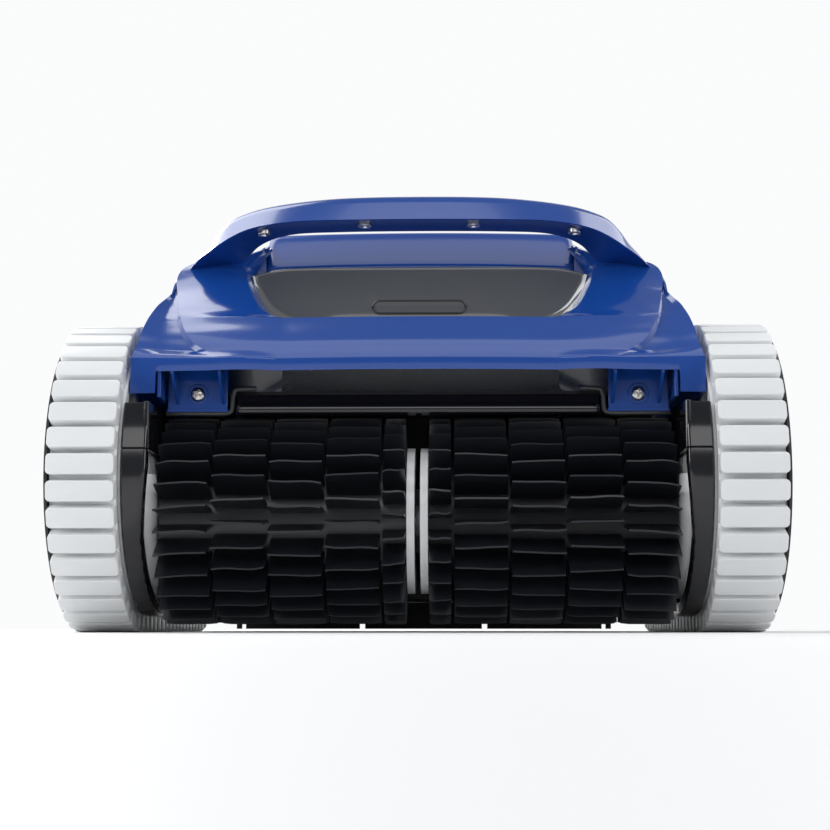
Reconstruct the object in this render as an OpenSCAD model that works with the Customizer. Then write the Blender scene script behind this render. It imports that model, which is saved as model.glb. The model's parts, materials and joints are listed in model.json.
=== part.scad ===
/* [Tracks] */
// Distance between the front and rear wheel axles
wheelbase = 254; // [230:1:300]
// Outer radius of the track round a wheel, lugs included
track_r = 98; // [90:1:110]
// Width of each rubber track
track_w = 38.6; // [30:0.2:46]
// Height of the lugs over the track's base
lug_h = 9; // [5:0.5:11]
// Thickness of the track's base
belt_t = 5; // [4:0.5:7]
// Lugs round the half circle at each end of a track
lugs_per_end = 19; // [15:1:24]
// Lugs on each straight run of a track
lugs_per_run = 17; // [12:1:22]
// Share of the lug pitch that each lug fills
lug_fill = 0.75; // [0.5:0.05:0.8]

/* [Body] */
// Half of the width over the chassis side walls
wall_x = 157; // [150:1:170]
// Thickness of the chassis walls and of the covers
skin = 3; // [2:0.25:4]
// Height of the pan's underside over the floor
ground_gap = 22; // [16:1:30]
// Height of the top face of the handle
body_h = 288; // [270:1:320]
// Half of the width of the top cover
cover_w = 172; // [166:1:180]
// Height of the cover's lower edge
cover_base = 141; // [130:1:146]

/* [Brush] */
// Outer radius of the brush fins
brush_r = 64.6; // [58:0.2:66]
// Radius of the rubber sleeve between the fins
sleeve_r = 40; // [34:0.5:44]
// Thickness of a fin
fin_t = 1.8; // [1.2:0.1:2.4]
// Fins round the brush
fins = 28; // [20:1:32]
// Radius of the white disc at the inner end of each brush half
disc_r = 45.5; // [42:0.5:52]
// Thickness of that disc
disc_t = 4.7; // [3:0.1:6]

/* [Wheels and gears] */
// Module of the drive gears
gear_m = 1.5; // [1.5:0.1:1.6]
// Teeth of the ring gear inside each wheel
ring_teeth = 76; // [74:1:78]
// Teeth of the gear on each brush half
brush_teeth = 30; // [29:1:31]
// Teeth of each drive motor's pinion
motor_teeth = 18; // [18:1:20]
// Radius of the wheel axles
axle_r = 6; // [5:0.5:7]
// Face width of the gears
gear_w = 8; // [6:0.5:9]

/* [Handle and lid] */
// Depth of the handle from front to back
handle_d = 35; // [28:1:38]
// Thickness of the handle at its middle
handle_t = 21; // [18:1:26]
// Half of the width of the filter lid
lid_w = 101; // [90:1:106]
// Largest opening angle of the lid
lid_open = 85; // [60:1:88]

/* [Filter] */
// Half of the width of the filter basket
basket_w = 98; // [90:1:104]
// Height of the filter basket
basket_h = 170; // [140:1:180]

/* [Fits] */
// Radial clearance of a shaft that turns in a bore
run_fit = 0.06; // [0.02:0.01:0.1]
// Gap between a fixed piece and the piece that it seats in
seat_fit = 0.15; // [0.1:0.05:0.3]
// Gap between two pieces that move past each other
move_gap = 0.8; // [0.5:0.1:1.2]

/* [Hidden] */
$fn = 96;

// Axles, front to back along Y
front_y = -wheelbase / 2;
rear_y = wheelbase / 2;
axle_z = track_r;
belt_out = track_r - lug_h;
belt_in = belt_out - belt_t;
wheel_r = belt_in - 0.4;

// Stations from the middle outwards along X
plate_x = wall_x + 2;
hub_x = plate_x + 4;
hub_t = 6;
track_x = plate_x + 15;
wheel_x = hub_x + hub_t + 6.5;
gear_x = wheel_x + 0.5;
web_x = gear_x + gear_w + 2;
web_t = 4;
cap_t = 2;
cap_x = track_x + track_w + 0.4;
cap_r = track_r - 6;
rib_h = 3.5;
rib_w = 4;
rib_x = track_x + track_w / 2;
plate_r = wheel_r + 4.4;
plate_in_r = plate_r - 9;
plate_split = axle_z + 10;

// Gears: the ring gear's pitch radius and the places of its pinions
ring_pr = gear_m * ring_teeth / 2;
brush_dist = gear_m * (ring_teeth - brush_teeth) / 2;
motor_dist = gear_m * (ring_teeth - motor_teeth) / 2;
brush_dir = 236.3;
motor_dir = 200;
backlash = 0.18;
brush_y = front_y + brush_dist * cos(brush_dir);
brush_z = axle_z + brush_dist * sin(brush_dir);
motor_y = rear_y + motor_dist * cos(motor_dir);
motor_z = axle_z + motor_dist * sin(motor_dir);
hub_r = brush_dist - gear_m * (brush_teeth / 2 + 1) - 1;

// Brush along X
disc_x = 1.75;
fin_x = disc_x + disc_t + 0.4;
brush_end = wall_x - 0.2;
fin_gap = 1.5;
narrow_col = 13.9;
wide_cols = 4;
wide_col = (brush_end - fin_x - narrow_col - wide_cols * fin_gap) / wide_cols;
core_r = sleeve_r - 2;
stub_r = 6;
pin_r = 5;

// Chassis
pan_front = front_y + 54;
pan_rear = rear_y + 72;
pan_top = 150;
roof_z = 146;
beam_y = front_y - 45;
beam_foot = brush_z + brush_r + 1;

// Cover stations: Y, half width, height of the shoulder's foot, half width of the flat top, top
lid_top = body_h - 8;
COVER = [
  [front_y - 72, cover_w - 8, cover_base + 8, 130, cover_base + 17],
  [front_y - 66, cover_w - 1, cover_base + 7, 127, cover_base + 29],
  [front_y - 35, cover_w, cover_base + 26, 118, cover_base + 56],
  [front_y - 1, cover_w, cover_base + 43, 104, body_h - 56],
  [front_y + 27, cover_w, cover_base + 52, 99, body_h - 34],
  [front_y + 60, cover_w, cover_base + 54, 99, lid_top - 9],
  [front_y + 90, cover_w, cover_base + 54, 99, lid_top - 1],
  [front_y + 130, cover_w, cover_base + 52, 99, lid_top],
  [front_y + 175, cover_w, cover_base + 49, 99, lid_top - 6],
  [rear_y - 30, cover_w - 1, cover_base + 41, 95, lid_top - 26],
  [rear_y + 40, cover_w - 4, cover_base + 30, 92, lid_top - 56],
  [rear_y + 68, cover_w - 7, cover_base + 18, 90, lid_top - 69],
  [rear_y + 80, cover_w - 14, cover_base + 8, 86, cover_base + 22]
];
ARC_STEPS = 8;
crown = 2.5;

// Opening under the handle
rim_z = cover_base + 55;
tunnel_back = front_y + 39;
tunnel_low = 86;
tunnel_high = 104;
slant_foot = front_y + 9;
slant_top_z = rim_z + 48;
cut_far = 400;

// Handle
handle_y = front_y - 1;
handle_z = body_h - handle_t;
handle_half = 143;
handle_foot_z = cover_base + 84;
grip_half = handle_half - 31;
grip_foot_z = handle_foot_z - 10;
grip_t = 4.5;
outer_arch = [6, 1.3];
inner_arch = [8, 6];
screw_xs = [-103, -36, 36, 103];

// Lid and its hinge
lid_front = tunnel_back + move_gap;
lid_rear = front_y + 201;
hinge_y = lid_rear + 6;
hinge_z = lid_top - 20;
barrel_r = 4;
hinge_pin_r = 2;
trough_r = 9.5;
knuckles = [-80, 80];
knuckle_w = 16;

// Filter chamber and basket
duct_z = ground_gap + 40;
duct_wall = 2.5;
duct_half = [40, 26];
duct_xs = [-48, 48];
chamber_y = front_y + 128;
flap_y = chamber_y + duct_half[1] + duct_wall + 1;
flap_z = duct_z + 3.4;
flap_pin_r = 1.5;
flap_barrel_r = 3;
flap_half = duct_half[0] - 4;
basket_y0 = pan_front + skin + 6;
basket_y1 = front_y + 192;
basket_z = ground_gap + skin + 12;
basket_t = 2.4;

// Motor box
box_y0 = basket_y1 + 4;
box_y1 = pan_rear - skin - 3;
box_half = 132;
box_z0 = ground_gap + skin + 2;
box_z1 = 118;
box_t = 3;
pump_y = (box_y0 + box_y1) / 2 + 12;
pump_r = 30;
impeller_r = 38;
impeller_z = box_z1 + 12;
duct_r = impeller_r + 2;
shaft_r = 4;
drive_r = 13;
grille_h = 6;
slope_from = COVER[9];
slope_to = COVER[10];
outlet_tilt = atan((slope_from[4] - slope_to[4]) / (slope_to[0] - slope_from[0]));
outlet_z = slope_from[4] - (pump_y - slope_from[0]) * tan(outlet_tilt) + crown;
inlet_x = 104;
inlet_y = rear_y + 30;
inlet_r = 11;

// Window, release bar and screws
slot_half = 30.5;
slot_h = 9;
slot_z = rim_z + 17;
screw_r = 4.4;
head_h = 2.4;
tab_x = 136;
tab_y = front_y - 46;
tab_z = cover_base + 5;

// Point at radius r and angle a
function polar(r, a) = [r * cos(a), r * sin(a)];

// Involute function of an angle, in degrees
function inv(a) = tan(a) * 180 / PI - a;

// Half angle of a gear tooth, or of an internal gear's gap, at radius r
function half_angle(z, r, slack) =
  let(pr = gear_m * z / 2, rb = pr * cos(20))
  90 / z + slack * 180 / PI / pr + inv(20) - inv(acos(min(1, rb / r)));

// Closed outline with z teeth between radius lo and radius hi
function gear_points(z, lo, hi, slack, phase) =
  let(rb = gear_m * z / 2 * cos(20), from = max(lo, rb), n = 6)
  [for (i = [0 : z - 1])
    let(a = phase + i * 360 / z)
    for (p = concat(
      [polar(lo, a - half_angle(z, from, slack))],
      [for (k = [0 : n]) let(r = from + (hi - from) * k / n) polar(r, a - half_angle(z, r, slack))],
      [for (k = [n : -1 : 0]) let(r = from + (hi - from) * k / n) polar(r, a + half_angle(z, r, slack))],
      [polar(lo, a + half_angle(z, from, slack))]
    )) p];

// Outline of a spur gear
function spur_points(z, phase) =
  gear_points(z, gear_m * (z / 2 - 1.25), gear_m * (z / 2 + 0.95), -backlash / 2, phase);

// Outline of the hole in a ring gear
function ring_points(phase) =
  gear_points(ring_teeth, ring_pr - 0.8 * gear_m, ring_pr + 1.25 * gear_m, backlash / 2, phase);

// Extrudes an outline drawn in the YZ plane along X
module along_x(x0, length) {
  translate([x0, 0, 0]) rotate([90, 0, 90]) linear_extrude(length) children();
}

// Extrudes an outline drawn in the XZ plane along Y
module along_y(y0, length) {
  translate([0, y0 + length, 0]) rotate([90, 0, 0]) linear_extrude(length) children();
}

// Draws a right-hand piece, or its mirror image for the left
module sided(side) {
  if (side > 0) children();
  else mirror([1, 0, 0]) children();
}

// Cylinder along X about the point y, z
module rod_x(x0, length, r, y, z) {
  translate([x0, y, z]) rotate([0, 90, 0]) cylinder(h = length, r = r);
}

// Cylinder along Y about the point x, z
module rod_y(y0, length, r, x, z) {
  translate([x, y0, z]) rotate([-90, 0, 0]) cylinder(h = length, r = r);
}

// Box between two corners
module block(lo, hi) {
  translate(lo) cube([hi[0] - lo[0], hi[1] - lo[1], hi[2] - lo[2]]);
}

// ---- Tracks and wheels ----

// One lug's outline, standing on the base at the origin
module lug(pitch, height) {
  w = pitch * lug_fill;
  polygon([[-w / 2, -1], [w / 2, -1], [w / 2 - 0.4, height], [-w / 2 + 0.4, height]]);
}

module belt_outline(r) {
  translate([front_y, axle_z]) circle(r);
  translate([rear_y, axle_z]) circle(r);
  translate([front_y, axle_z - r]) square([wheelbase, 2 * r]);
}

module track(side) {
  turn = 180 / lugs_per_end;
  step = wheelbase / lugs_per_run;
  color("whitesmoke") sided(side) {
    difference() {
      along_x(track_x, track_w) {
        belt_outline(belt_out);
        for (i = [0 : lugs_per_end - 1]) {
          translate([front_y, axle_z]) rotate(90 + (i + 0.5) * turn) lug_on_arc(turn);
          translate([rear_y, axle_z]) rotate(-90 + (i + 0.5) * turn) lug_on_arc(turn);
        }
        for (i = [0 : lugs_per_run - 1]) {
          y = front_y + (i + 0.5) * step;
          translate([y, axle_z + belt_out]) lug(step, lug_h);
          translate([y, axle_z - belt_out]) rotate(180) lug(step, lug_h);
        }
      }
      along_x(track_x - 1, track_w + 2) belt_outline(belt_in);
    }
    along_x(rib_x - rib_w / 2, rib_w) difference() {
      belt_outline(belt_in + 0.5);
      belt_outline(belt_in - rib_h);
    }
  }
}

// A lug on an end's arc, standing outwards along the turned frame's first axis
module lug_on_arc(turn) {
  pitch = belt_out * turn * PI / 180;
  reach = sqrt(pow(track_r, 2) - pow(pitch * lug_fill / 2, 2)) - belt_out;
  translate([belt_out, 0]) rotate(-90) lug(pitch, reach);
}

// Wheel body about the X axis at the origin: hub, web, rim with guide groove, ring gear
module wheel(side, y, phase) {
  groove_r = wheel_r - rib_h - 1;
  rim_in = wheel_r - rib_h - 4;
  rim_x1 = cap_x - 0.4;
  color("white") sided(side) {
    translate([0, y, axle_z]) rotate([0, 90, 0]) rotate_extrude($fn = 96) {
      difference() {
        translate([rim_in, wheel_x]) square([wheel_r - rim_in, rim_x1 - wheel_x]);
        translate([groove_r, rib_x - rib_w / 2 - 0.6]) square([rib_h + 2, rib_w + 1.2]);
      }
      translate([axle_r + run_fit, web_x]) square([rim_in + 1 - axle_r - run_fit, web_t]);
      translate([axle_r + run_fit, wheel_x]) square([hub_r - axle_r - run_fit, rim_x1 - 6 - wheel_x]);
    }
    along_x(gear_x, gear_w + 2.5) translate([y, axle_z]) difference() {
      circle(ring_pr + 6);
      polygon(ring_points(phase));
    }
  }
}

// Black flange disc outside a wheel
module wheel_cap(side, y) {
  color("black") sided(side) {
    difference() {
      union() {
        rod_x(cap_x, cap_t, cap_r, y, axle_z);
        rod_x(cap_x - 3, 4, 22, y, axle_z);
      }
      for (i = [0 : 5]) {
        p = polar(58, i * 60 + 30);
        rod_x(cap_x - 1, cap_t + 2, 11, y + p[0], axle_z + p[1]);
      }
      rod_x(cap_x - 4, 4.6, 14, y, axle_z);
    }
  }
}

module axles() {
  color("silver") for (side = [-1, 1], y = [front_y, rear_y]) sided(side) {
    rod_x(hub_x - 2, cap_x - 3 - hub_x, axle_r, y, axle_z);
    rod_x(hub_x + hub_t + seat_fit, 2, axle_r + 3, y, axle_z);
    rod_x(cap_x - 6.1, 1.8, axle_r + 3, y, axle_z);
  }
}

// White plate that carries the wheel axle, seen through the side ring
module hub_plate(side, y, shaft_y, shaft_z, bore_r) {
  color("white") sided(side) along_x(hub_x, hub_t) difference() {
    translate([y, axle_z]) circle(plate_in_r - 2);
    translate([y - 200, cover_base - skin - 1]) square([400, 200]);
    translate([y, axle_z]) circle(axle_r + seat_fit);
    translate([shaft_y, shaft_z]) circle(bore_r + run_fit);
  }
}

// Upper glossy side plate: a wall with an outer rim
module side_plate(side) {
  color("black") sided(side) {
    along_x(plate_x, hub_x - plate_x - seat_fit) difference() {
      translate([front_y, axle_z]) circle(plate_r);
      translate([front_y - 200, plate_split - 200]) square([400, 200]);
      translate([front_y - 200, cover_base - skin - 1]) square([400, 200]);
      translate([front_y, axle_z]) circle(axle_r + 4);
    }
    along_x(plate_x, track_x - 0.6 - plate_x) difference() {
      translate([front_y, axle_z]) circle(plate_r);
      translate([front_y, axle_z]) circle(plate_in_r);
      translate([front_y - 200, plate_split - 200]) square([400, 200]);
      translate([front_y - 200, cover_base - skin - 1]) square([400, 200]);
    }
    along_x(wall_x + seat_fit, 2.5) translate([pan_front + 1, plate_split]) square([18, 22]);
  }
}

// Lower glossy side ring
module side_ring(side) {
  color("black") sided(side) {
    along_x(plate_x, track_x - 0.6 - plate_x) difference() {
      translate([front_y, axle_z]) circle(plate_r);
      translate([front_y, axle_z]) circle(plate_in_r);
      translate([front_y - 200, plate_split - seat_fit]) square([400, 400]);
    }
    along_x(wall_x + seat_fit, 2.5) translate([pan_front + 4, plate_split - 40]) square([20, 22]);
  }
}

// ---- Brush ----

// Outline of one column of fins: a sleeve with thin fins standing on it
function fin_points(shift) =
  [for (i = [0 : fins - 1])
    let(a = i * 360 / fins + shift, foot = asin(fin_t / 2 / sleeve_r), tip = asin(fin_t * 0.35 / brush_r))
    for (p = [polar(sleeve_r, a - foot), polar(brush_r, a - tip), polar(brush_r, a + tip),
      polar(sleeve_r, a + foot)]) p];

module brush_fins(side) {
  color("dimgray") sided(side) {
    along_x(fin_x, brush_end - fin_x) translate([brush_y, brush_z]) difference() {
      circle(sleeve_r - 0.5);
      circle(core_r + seat_fit);
    }
    fin_column(fin_x, narrow_col, 0);
    for (i = [0 : wide_cols - 1]) {
      fin_column(fin_x + narrow_col + fin_gap + i * (wide_col + fin_gap), wide_col, (i % 2 + 1) * 4);
    }
  }
}

module fin_column(x0, length, shift) {
  along_x(x0, length) translate([brush_y, brush_z]) difference() {
    polygon(fin_points(shift));
    circle(core_r + seat_fit);
  }
}

module brush_core(side) {
  color("darkslategray") sided(side) difference() {
    rod_x(fin_x, brush_end - fin_x, core_r, brush_y, brush_z);
    rod_x(fin_x + 4, brush_end - fin_x - 10, core_r - 3, brush_y, brush_z);
    rod_x(fin_x - 1, 8, pin_r + run_fit, brush_y, brush_z);
    rod_x(brush_end - 20, 30, stub_r + seat_fit, brush_y, brush_z);
  }
}

module brush_disc(side) {
  color("white") sided(side) difference() {
    rod_x(disc_x, disc_t, disc_r, brush_y, brush_z);
    rod_x(disc_x - 1, disc_t + 2, pin_r + run_fit, brush_y, brush_z);
  }
}

// Gear on the brush's drive stub, inside the front wheel
module brush_gear(side) {
  color("ivory") sided(side) {
    along_x(gear_x, gear_w) translate([brush_y, brush_z]) polygon(spur_points(brush_teeth, brush_dir));
    rod_x(brush_end - 16, gear_x - brush_end + 16.5, stub_r, brush_y, brush_z);
  }
}

module brush_axle() {
  color("silver") rod_x(-(fin_x + 2.5), 2 * (fin_x + 2.5), pin_r, brush_y, brush_z);
}

// Grey bush between the two brush discs
module brush_hub() {
  color("lightgray") difference() {
    rod_x(-disc_x + 0.35, 2 * disc_x - 0.7, 9.5, brush_y, brush_z);
    rod_x(-5, 10, pin_r + seat_fit, brush_y, brush_z);
  }
}

// Thin arm that holds the bush from behind
module brush_bracket() {
  color("black") {
    along_x(-disc_x + 0.45, 2 * disc_x - 0.9) difference() {
      polygon([[brush_y + 2, brush_z - 20], [pan_front - 0.2, brush_z - 34], [pan_front - 0.2, brush_z + 52],
        [brush_y + 2, brush_z + 20]]);
      translate([brush_y, brush_z]) circle(9.5 + seat_fit);
    }
  }
}

// ---- Chassis ----

module chassis_pan() {
  color("black") difference() {
    union() {
      block([-wall_x, pan_front, ground_gap], [wall_x, pan_rear, ground_gap + skin]);
      block([-wall_x, pan_front, ground_gap], [wall_x, pan_front + skin, roof_z]);
      block([-wall_x, pan_rear - skin, ground_gap], [wall_x, pan_rear, pan_top]);
      for (s = [-1, 1]) {
        translate([s * (wall_x - skin / 2) - skin / 2, pan_front, ground_gap])
          cube([skin, pan_rear - pan_front, pan_top - ground_gap]);
      }
      block([-wall_x + 8, beam_y + 8, roof_z], [wall_x - 8, pan_front + skin, roof_z + skin]);
      for (x = duct_xs) {
        translate([x - duct_half[0] - duct_wall, chamber_y - duct_half[1] - duct_wall, ground_gap])
          cube([2 * (duct_half[0] + duct_wall), 2 * (duct_half[1] + duct_wall), duct_z - ground_gap]);
        flap_hinge(x);
      }
    }
    for (x = duct_xs) {
      translate([x - duct_half[0], chamber_y - duct_half[1], ground_gap - 1])
        cube([2 * duct_half[0], 2 * duct_half[1], duct_z - ground_gap + 2]);
    }
    for (x = [-98, -64, 64, 98]) {
      translate([x - 3, beam_y + 16, roof_z - 1]) cube([6, 6, skin + 2]);
    }
    for (s = [-1, 1]) {
      rod_x(s * wall_x - 8, 16, shaft_r + 1, motor_y, motor_z);
    }
  }
}

// Ears and pin that carry an intake flap behind its duct
module flap_hinge(x) {
  ear = duct_half[0] + duct_wall;
  rod_x(x - ear, 2 * ear, flap_pin_r, flap_y, flap_z);
  for (s = [-1, 1]) {
    translate([x + s * (ear - 1.5) - 1.5, flap_y - 4, duct_z - 8]) cube([3, 8, 15]);
  }
}

// Rubber flap that lets water and dirt in and keeps the dirt inside
module intake_flap(side) {
  color("dimgray") translate([side * duct_xs[1], 0, 0]) difference() {
    union() {
      rod_x(-flap_half, 2 * flap_half, flap_barrel_r, flap_y, flap_z);
      block([-flap_half, chamber_y - duct_half[1] - duct_wall, duct_z + 0.4], [flap_half, flap_y, duct_z + 2.4]);
    }
    rod_x(-flap_half - 1, 2 * flap_half + 2, flap_pin_r + run_fit, flap_y, flap_z);
  }
}

// Glossy beam across the front over the brush
module front_beam() {
  half = 113;
  color("black") {
    along_x(-half, 2 * half) {
      translate([beam_y - 1, roof_z - 7]) circle(6, $fn = 48);
      translate([beam_y - 1, beam_foot]) square([10, roof_z - 1 - beam_foot]);
    }
    block([-half, beam_y + 8.2, beam_foot], [half, beam_y + 16, roof_z - seat_fit]);
  }
}

// Three rubber flaps behind the intakes and two short end tabs
module skirt_flaps() {
  y = chamber_y + 66;
  color("black") for (span = [[-141, -137], [-134, -48], [-44, 44], [48, 134], [137, 141]]) {
    block([span[0], y, 2], [span[1], y + 2, ground_gap - seat_fit]);
  }
}

module floats() {
  color("white") for (s = [-1, 1]) {
    translate([s * 136 - 15, box_y0 + 8, box_z1 + 8])
      cube([30, box_y1 - box_y0 - 20, 34]);
  }
}

// ---- Cover, handle and lid ----

// One cross-section of the cover, drawn in by t, as points [x, z] from the left foot over the top
function cover_section(s, t) =
  let(w = s[1] - t, foot = s[2] - t * 0.4, flat = s[3] - t * 0.4, top = s[4] - t)
  let(half = concat(
    [[w, cover_base - (t > 0 ? 1 : 0)]],
    [for (k = [0 : ARC_STEPS])
      let(a = 90 * k / ARC_STEPS) [flat + (w - flat) * cos(a), foot + (top - foot) * sin(a)]],
    [[flat * 0.5, top + crown * 0.75]]
  ))
  concat([for (i = [0 : len(half) - 1]) [-half[i][0], half[i][1]]], [[0, top + crown]],
    [for (i = [len(half) - 1 : -1 : 0]) half[i]]);

// Solid inside the cover's outer skin, drawn in by t
module cover_solid(t) {
  last = len(COVER) - 1;
  n = 2 * (ARC_STEPS + 3) + 1;
  pts = [for (i = [0 : last])
    let(s = COVER[i], y = s[0] + (i == 0 ? t : (i == last ? -t : 0)))
    for (p = cover_section(s, t)) [p[0], y, p[1]]];
  sides = [for (i = [0 : last - 1]) for (j = [0 : n - 1])
    let(a = i * n + j, b = i * n + (j + 1) % n, c = a + n, d = b + n) for (f = [[a, d, b], [a, c, d]]) f];
  ends = [[for (j = [0 : n - 1]) j], [for (j = [n - 1 : -1 : 0]) last * n + j]];
  polyhedron(points = pts, faces = concat(sides, ends));
}

// Space under the handle, open to the front and upwards, grown by t
module tunnel(t) {
  along_y(front_y - 120, tunnel_back - front_y + 120 + t) polygon([
    [-tunnel_low - t, rim_z - t], [tunnel_low + t, rim_z - t],
    [tunnel_high + t, rim_z + 48], [tunnel_high + t, cut_far], [-tunnel_high - t, cut_far],
    [-tunnel_high - t, rim_z + 48]
  ]);
}

module top_cover() {
  color("mediumblue") difference() {
    cover_solid(0);
    difference() {
      cover_solid(skin);
      tunnel(skin);
      rod_x(-lid_w - move_gap - skin, 2 * (lid_w + move_gap + skin), trough_r + skin, hinge_y, hinge_z);
    }
    tunnel(0);
    block([-lid_w - move_gap, tunnel_back - 1, slant_top_z - 46], [lid_w + move_gap, lid_rear + move_gap, cut_far]);
    rod_x(-lid_w - move_gap, 2 * (lid_w + move_gap), trough_r, hinge_y, hinge_z);
    at_outlet() translate([0, 0, -20]) cylinder(h = 40, r = duct_r + 1.5 + seat_fit);
    translate([inlet_x, inlet_y, lid_top - 80]) cylinder(h = 100, r = inlet_r + seat_fit);
    block([-cover_w + 14, front_y - 90, cover_base - 2], [cover_w - 14, front_y - 30, cover_base + 14]);
  }
  color("mediumblue") cover_tabs();
}

// Screw tabs that hang from the cover's front lip
module cover_tabs() {
  for (s = [-1, 1]) {
    difference() {
      translate([s * tab_x - 18.5, tab_y, cover_base - 5]) cube([37, 3, 25]);
      rod_y(tab_y - 1, 5, 2.2, s * tab_x, tab_z);
    }
  }
}

// Height at distance x from the middle of an arch with given side and crown exponents
function arch_z(x, half, top, foot, shape) =
  foot + (top - foot) * pow(1 - pow(min(1, abs(x) / half), shape[0]), 1 / shape[1]);

module handle_outline(half, top, foot, shape) {
  right = [for (k = [0 : 24]) let(x = half * sin(90 * k / 24)) [x, arch_z(x, half, top, foot, shape)]];
  left = [for (i = [len(right) - 1 : -1 : 1]) [-right[i][0], right[i][1]]];
  polygon(concat(left, right));
}

// Upper shell of the handle
module handle_top() {
  color("mediumblue") difference() {
    along_y(handle_y, handle_d) difference() {
      handle_outline(handle_half, body_h, handle_foot_z, outer_arch);
      handle_outline(grip_half + grip_t + seat_fit, handle_z + grip_t + seat_fit, grip_foot_z, inner_arch);
      translate([-200, handle_foot_z - 40]) square([400, 42]);
    }
    translate([0, handle_y, handle_z + grip_t]) rotate([45, 0, 0]) translate([-200, -30, 0]) cube([400, 30, 60]);
    for (x = screw_xs) {
      translate([x, handle_y + handle_d / 2, handle_z - 20]) cylinder(h = 34, r = 2.1);
    }
    cover_solid(-seat_fit);
  }
}

// Lower shell of the handle, screwed up from below
module handle_grip() {
  color("navy") difference() {
    along_y(handle_y + 0.5, handle_d - 1) difference() {
      handle_outline(grip_half + grip_t, handle_z + grip_t, grip_foot_z, inner_arch);
      handle_outline(grip_half, handle_z, grip_foot_z, inner_arch);
      translate([-200, grip_foot_z - 10]) square([400, 30]);
    }
    for (x = screw_xs) {
      translate([x, handle_y + handle_d / 2, handle_z - 20]) cylinder(h = 34, r = 2.1);
    }
    cover_solid(-seat_fit);
  }
}

// Pan-head screw pointing up, with a cross recess
module pan_screw(length) {
  difference() {
    union() {
      cylinder(h = head_h, r = screw_r);
      cylinder(h = length, r = 2);
    }
    translate([-2.6, -0.5, -0.1]) cube([5.2, 1, 1.3]);
    translate([-0.5, -2.6, -0.1]) cube([1, 5.2, 1.3]);
  }
}

module handle_screws() {
  reach = 5.5;
  color("silver") for (x = screw_xs) {
    under = arch_z(abs(x) + screw_r, grip_half, handle_z, grip_foot_z, inner_arch);
    translate([x, handle_y + handle_d / 2, under - head_h - seat_fit]) pan_screw(head_h + reach);
  }
}

module cover_screws() {
  color("silver") for (s = [-1, 1]) {
    translate([s * tab_x, tab_y - head_h - seat_fit, tab_z]) rotate([-90, 0, 0]) pan_screw(8);
  }
}

// Space under the handle's rim, drawn in by t, between two outlines seen from the side
module bucket_shape(t, side_points) {
  intersection() {
    along_y(front_y - 60, 140) polygon([
      [-tunnel_low + t, rim_z], [tunnel_low - t, rim_z],
      [tunnel_high - t, slant_top_z], [tunnel_high - t, slant_top_z + 9],
      [-tunnel_high + t, slant_top_z + 9], [-tunnel_high + t, slant_top_z]
    ]);
    along_x(-cover_w, 2 * cover_w) polygon(side_points);
  }
}

// Smoked bucket under the handle: floor, slanted back and two sides
module front_window() {
  wall = 2.5;
  low = rim_z + seat_fit;
  y0 = front_y - 30;
  back = tunnel_back - 2 * wall;
  color("gray") difference() {
    bucket_shape(seat_fit * 2, [[y0, low], [slant_foot + wall, low], [back + wall, slant_top_z],
      [y0, slant_top_z - 20]]);
    bucket_shape(wall, [[y0 - 1, low + wall], [slant_foot, low + wall], [back, slant_top_z],
      [back, slant_top_z + 5], [y0 - 1, slant_top_z + 5]]);
    slot_shape(slot_half, slot_h / 2, slant_foot - 10, 50);
  }
}

// Pill-shaped bar along X, pointing along Y
module slot_shape(half, r, y0, length) {
  along_y(y0, length) {
    translate([-half + r, slot_z]) circle(r);
    translate([half - r, slot_z]) circle(r);
    translate([-half + r, slot_z - r]) square([2 * (half - r), 2 * r]);
  }
}

// Bar in the slot that is pushed in to free the lid
module lid_release() {
  color("dimgray") slot_shape(slot_half - 0.5, slot_h / 2 - 0.5, slant_foot + 9, 12);
}

module lid() {
  color("royalblue") {
    difference() {
      cover_solid(0);
      cover_solid(skin);
      tunnel(move_gap);
      lid_outside();
      rod_x(-cover_w, 2 * cover_w, trough_r - 2, hinge_y, hinge_z);
    }
    difference() {
      union() {
        for (x = knuckles) {
          rod_x(x - knuckle_w / 2, knuckle_w, barrel_r, hinge_y, hinge_z);
          translate([x - knuckle_w / 2, hinge_y - 22, hinge_z - 2]) cube([knuckle_w, 22, 4]);
          translate([x - knuckle_w / 2, hinge_y - 22, hinge_z - 2]) cube([knuckle_w, 4, 16]);
        }
      }
      for (x = knuckles) {
        rod_x(x - knuckle_w / 2 - 1, knuckle_w + 2, hinge_pin_r + run_fit, hinge_y, hinge_z);
      }
    }
  }
}

// Everything outside the lid's own outline
module lid_outside() {
  difference() {
    block([-300, -400, 0], [300, 400, 500]);
    block([-lid_w, lid_front, slant_top_z - 2], [lid_w, lid_rear, 490]);
  }
}

module lid_hinge_pin() {
  color("silver") rod_x(-lid_w + 4, 2 * lid_w - 8, hinge_pin_r, hinge_y, hinge_z);
}

// Frame on the cover's slope where the outlet opens, its third axis square to the cover
module at_outlet() {
  translate([0, pump_y, outlet_z]) rotate([-outlet_tilt, 0, 0]) children();
}

module outlet_grille() {
  color("black") at_outlet() translate([0, 0, -grille_h]) difference() {
    cylinder(h = grille_h, r = duct_r + 1.5);
    difference() {
      translate([0, 0, -1]) cylinder(h = grille_h + 2, r = duct_r - 2);
      for (i = [-3 : 3]) {
        translate([i * 11 - 1.5, -60, -2]) cube([3, 120, grille_h + 4]);
      }
      translate([0, 0, -2]) cylinder(h = grille_h + 4, r = 10);
    }
  }
}

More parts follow.
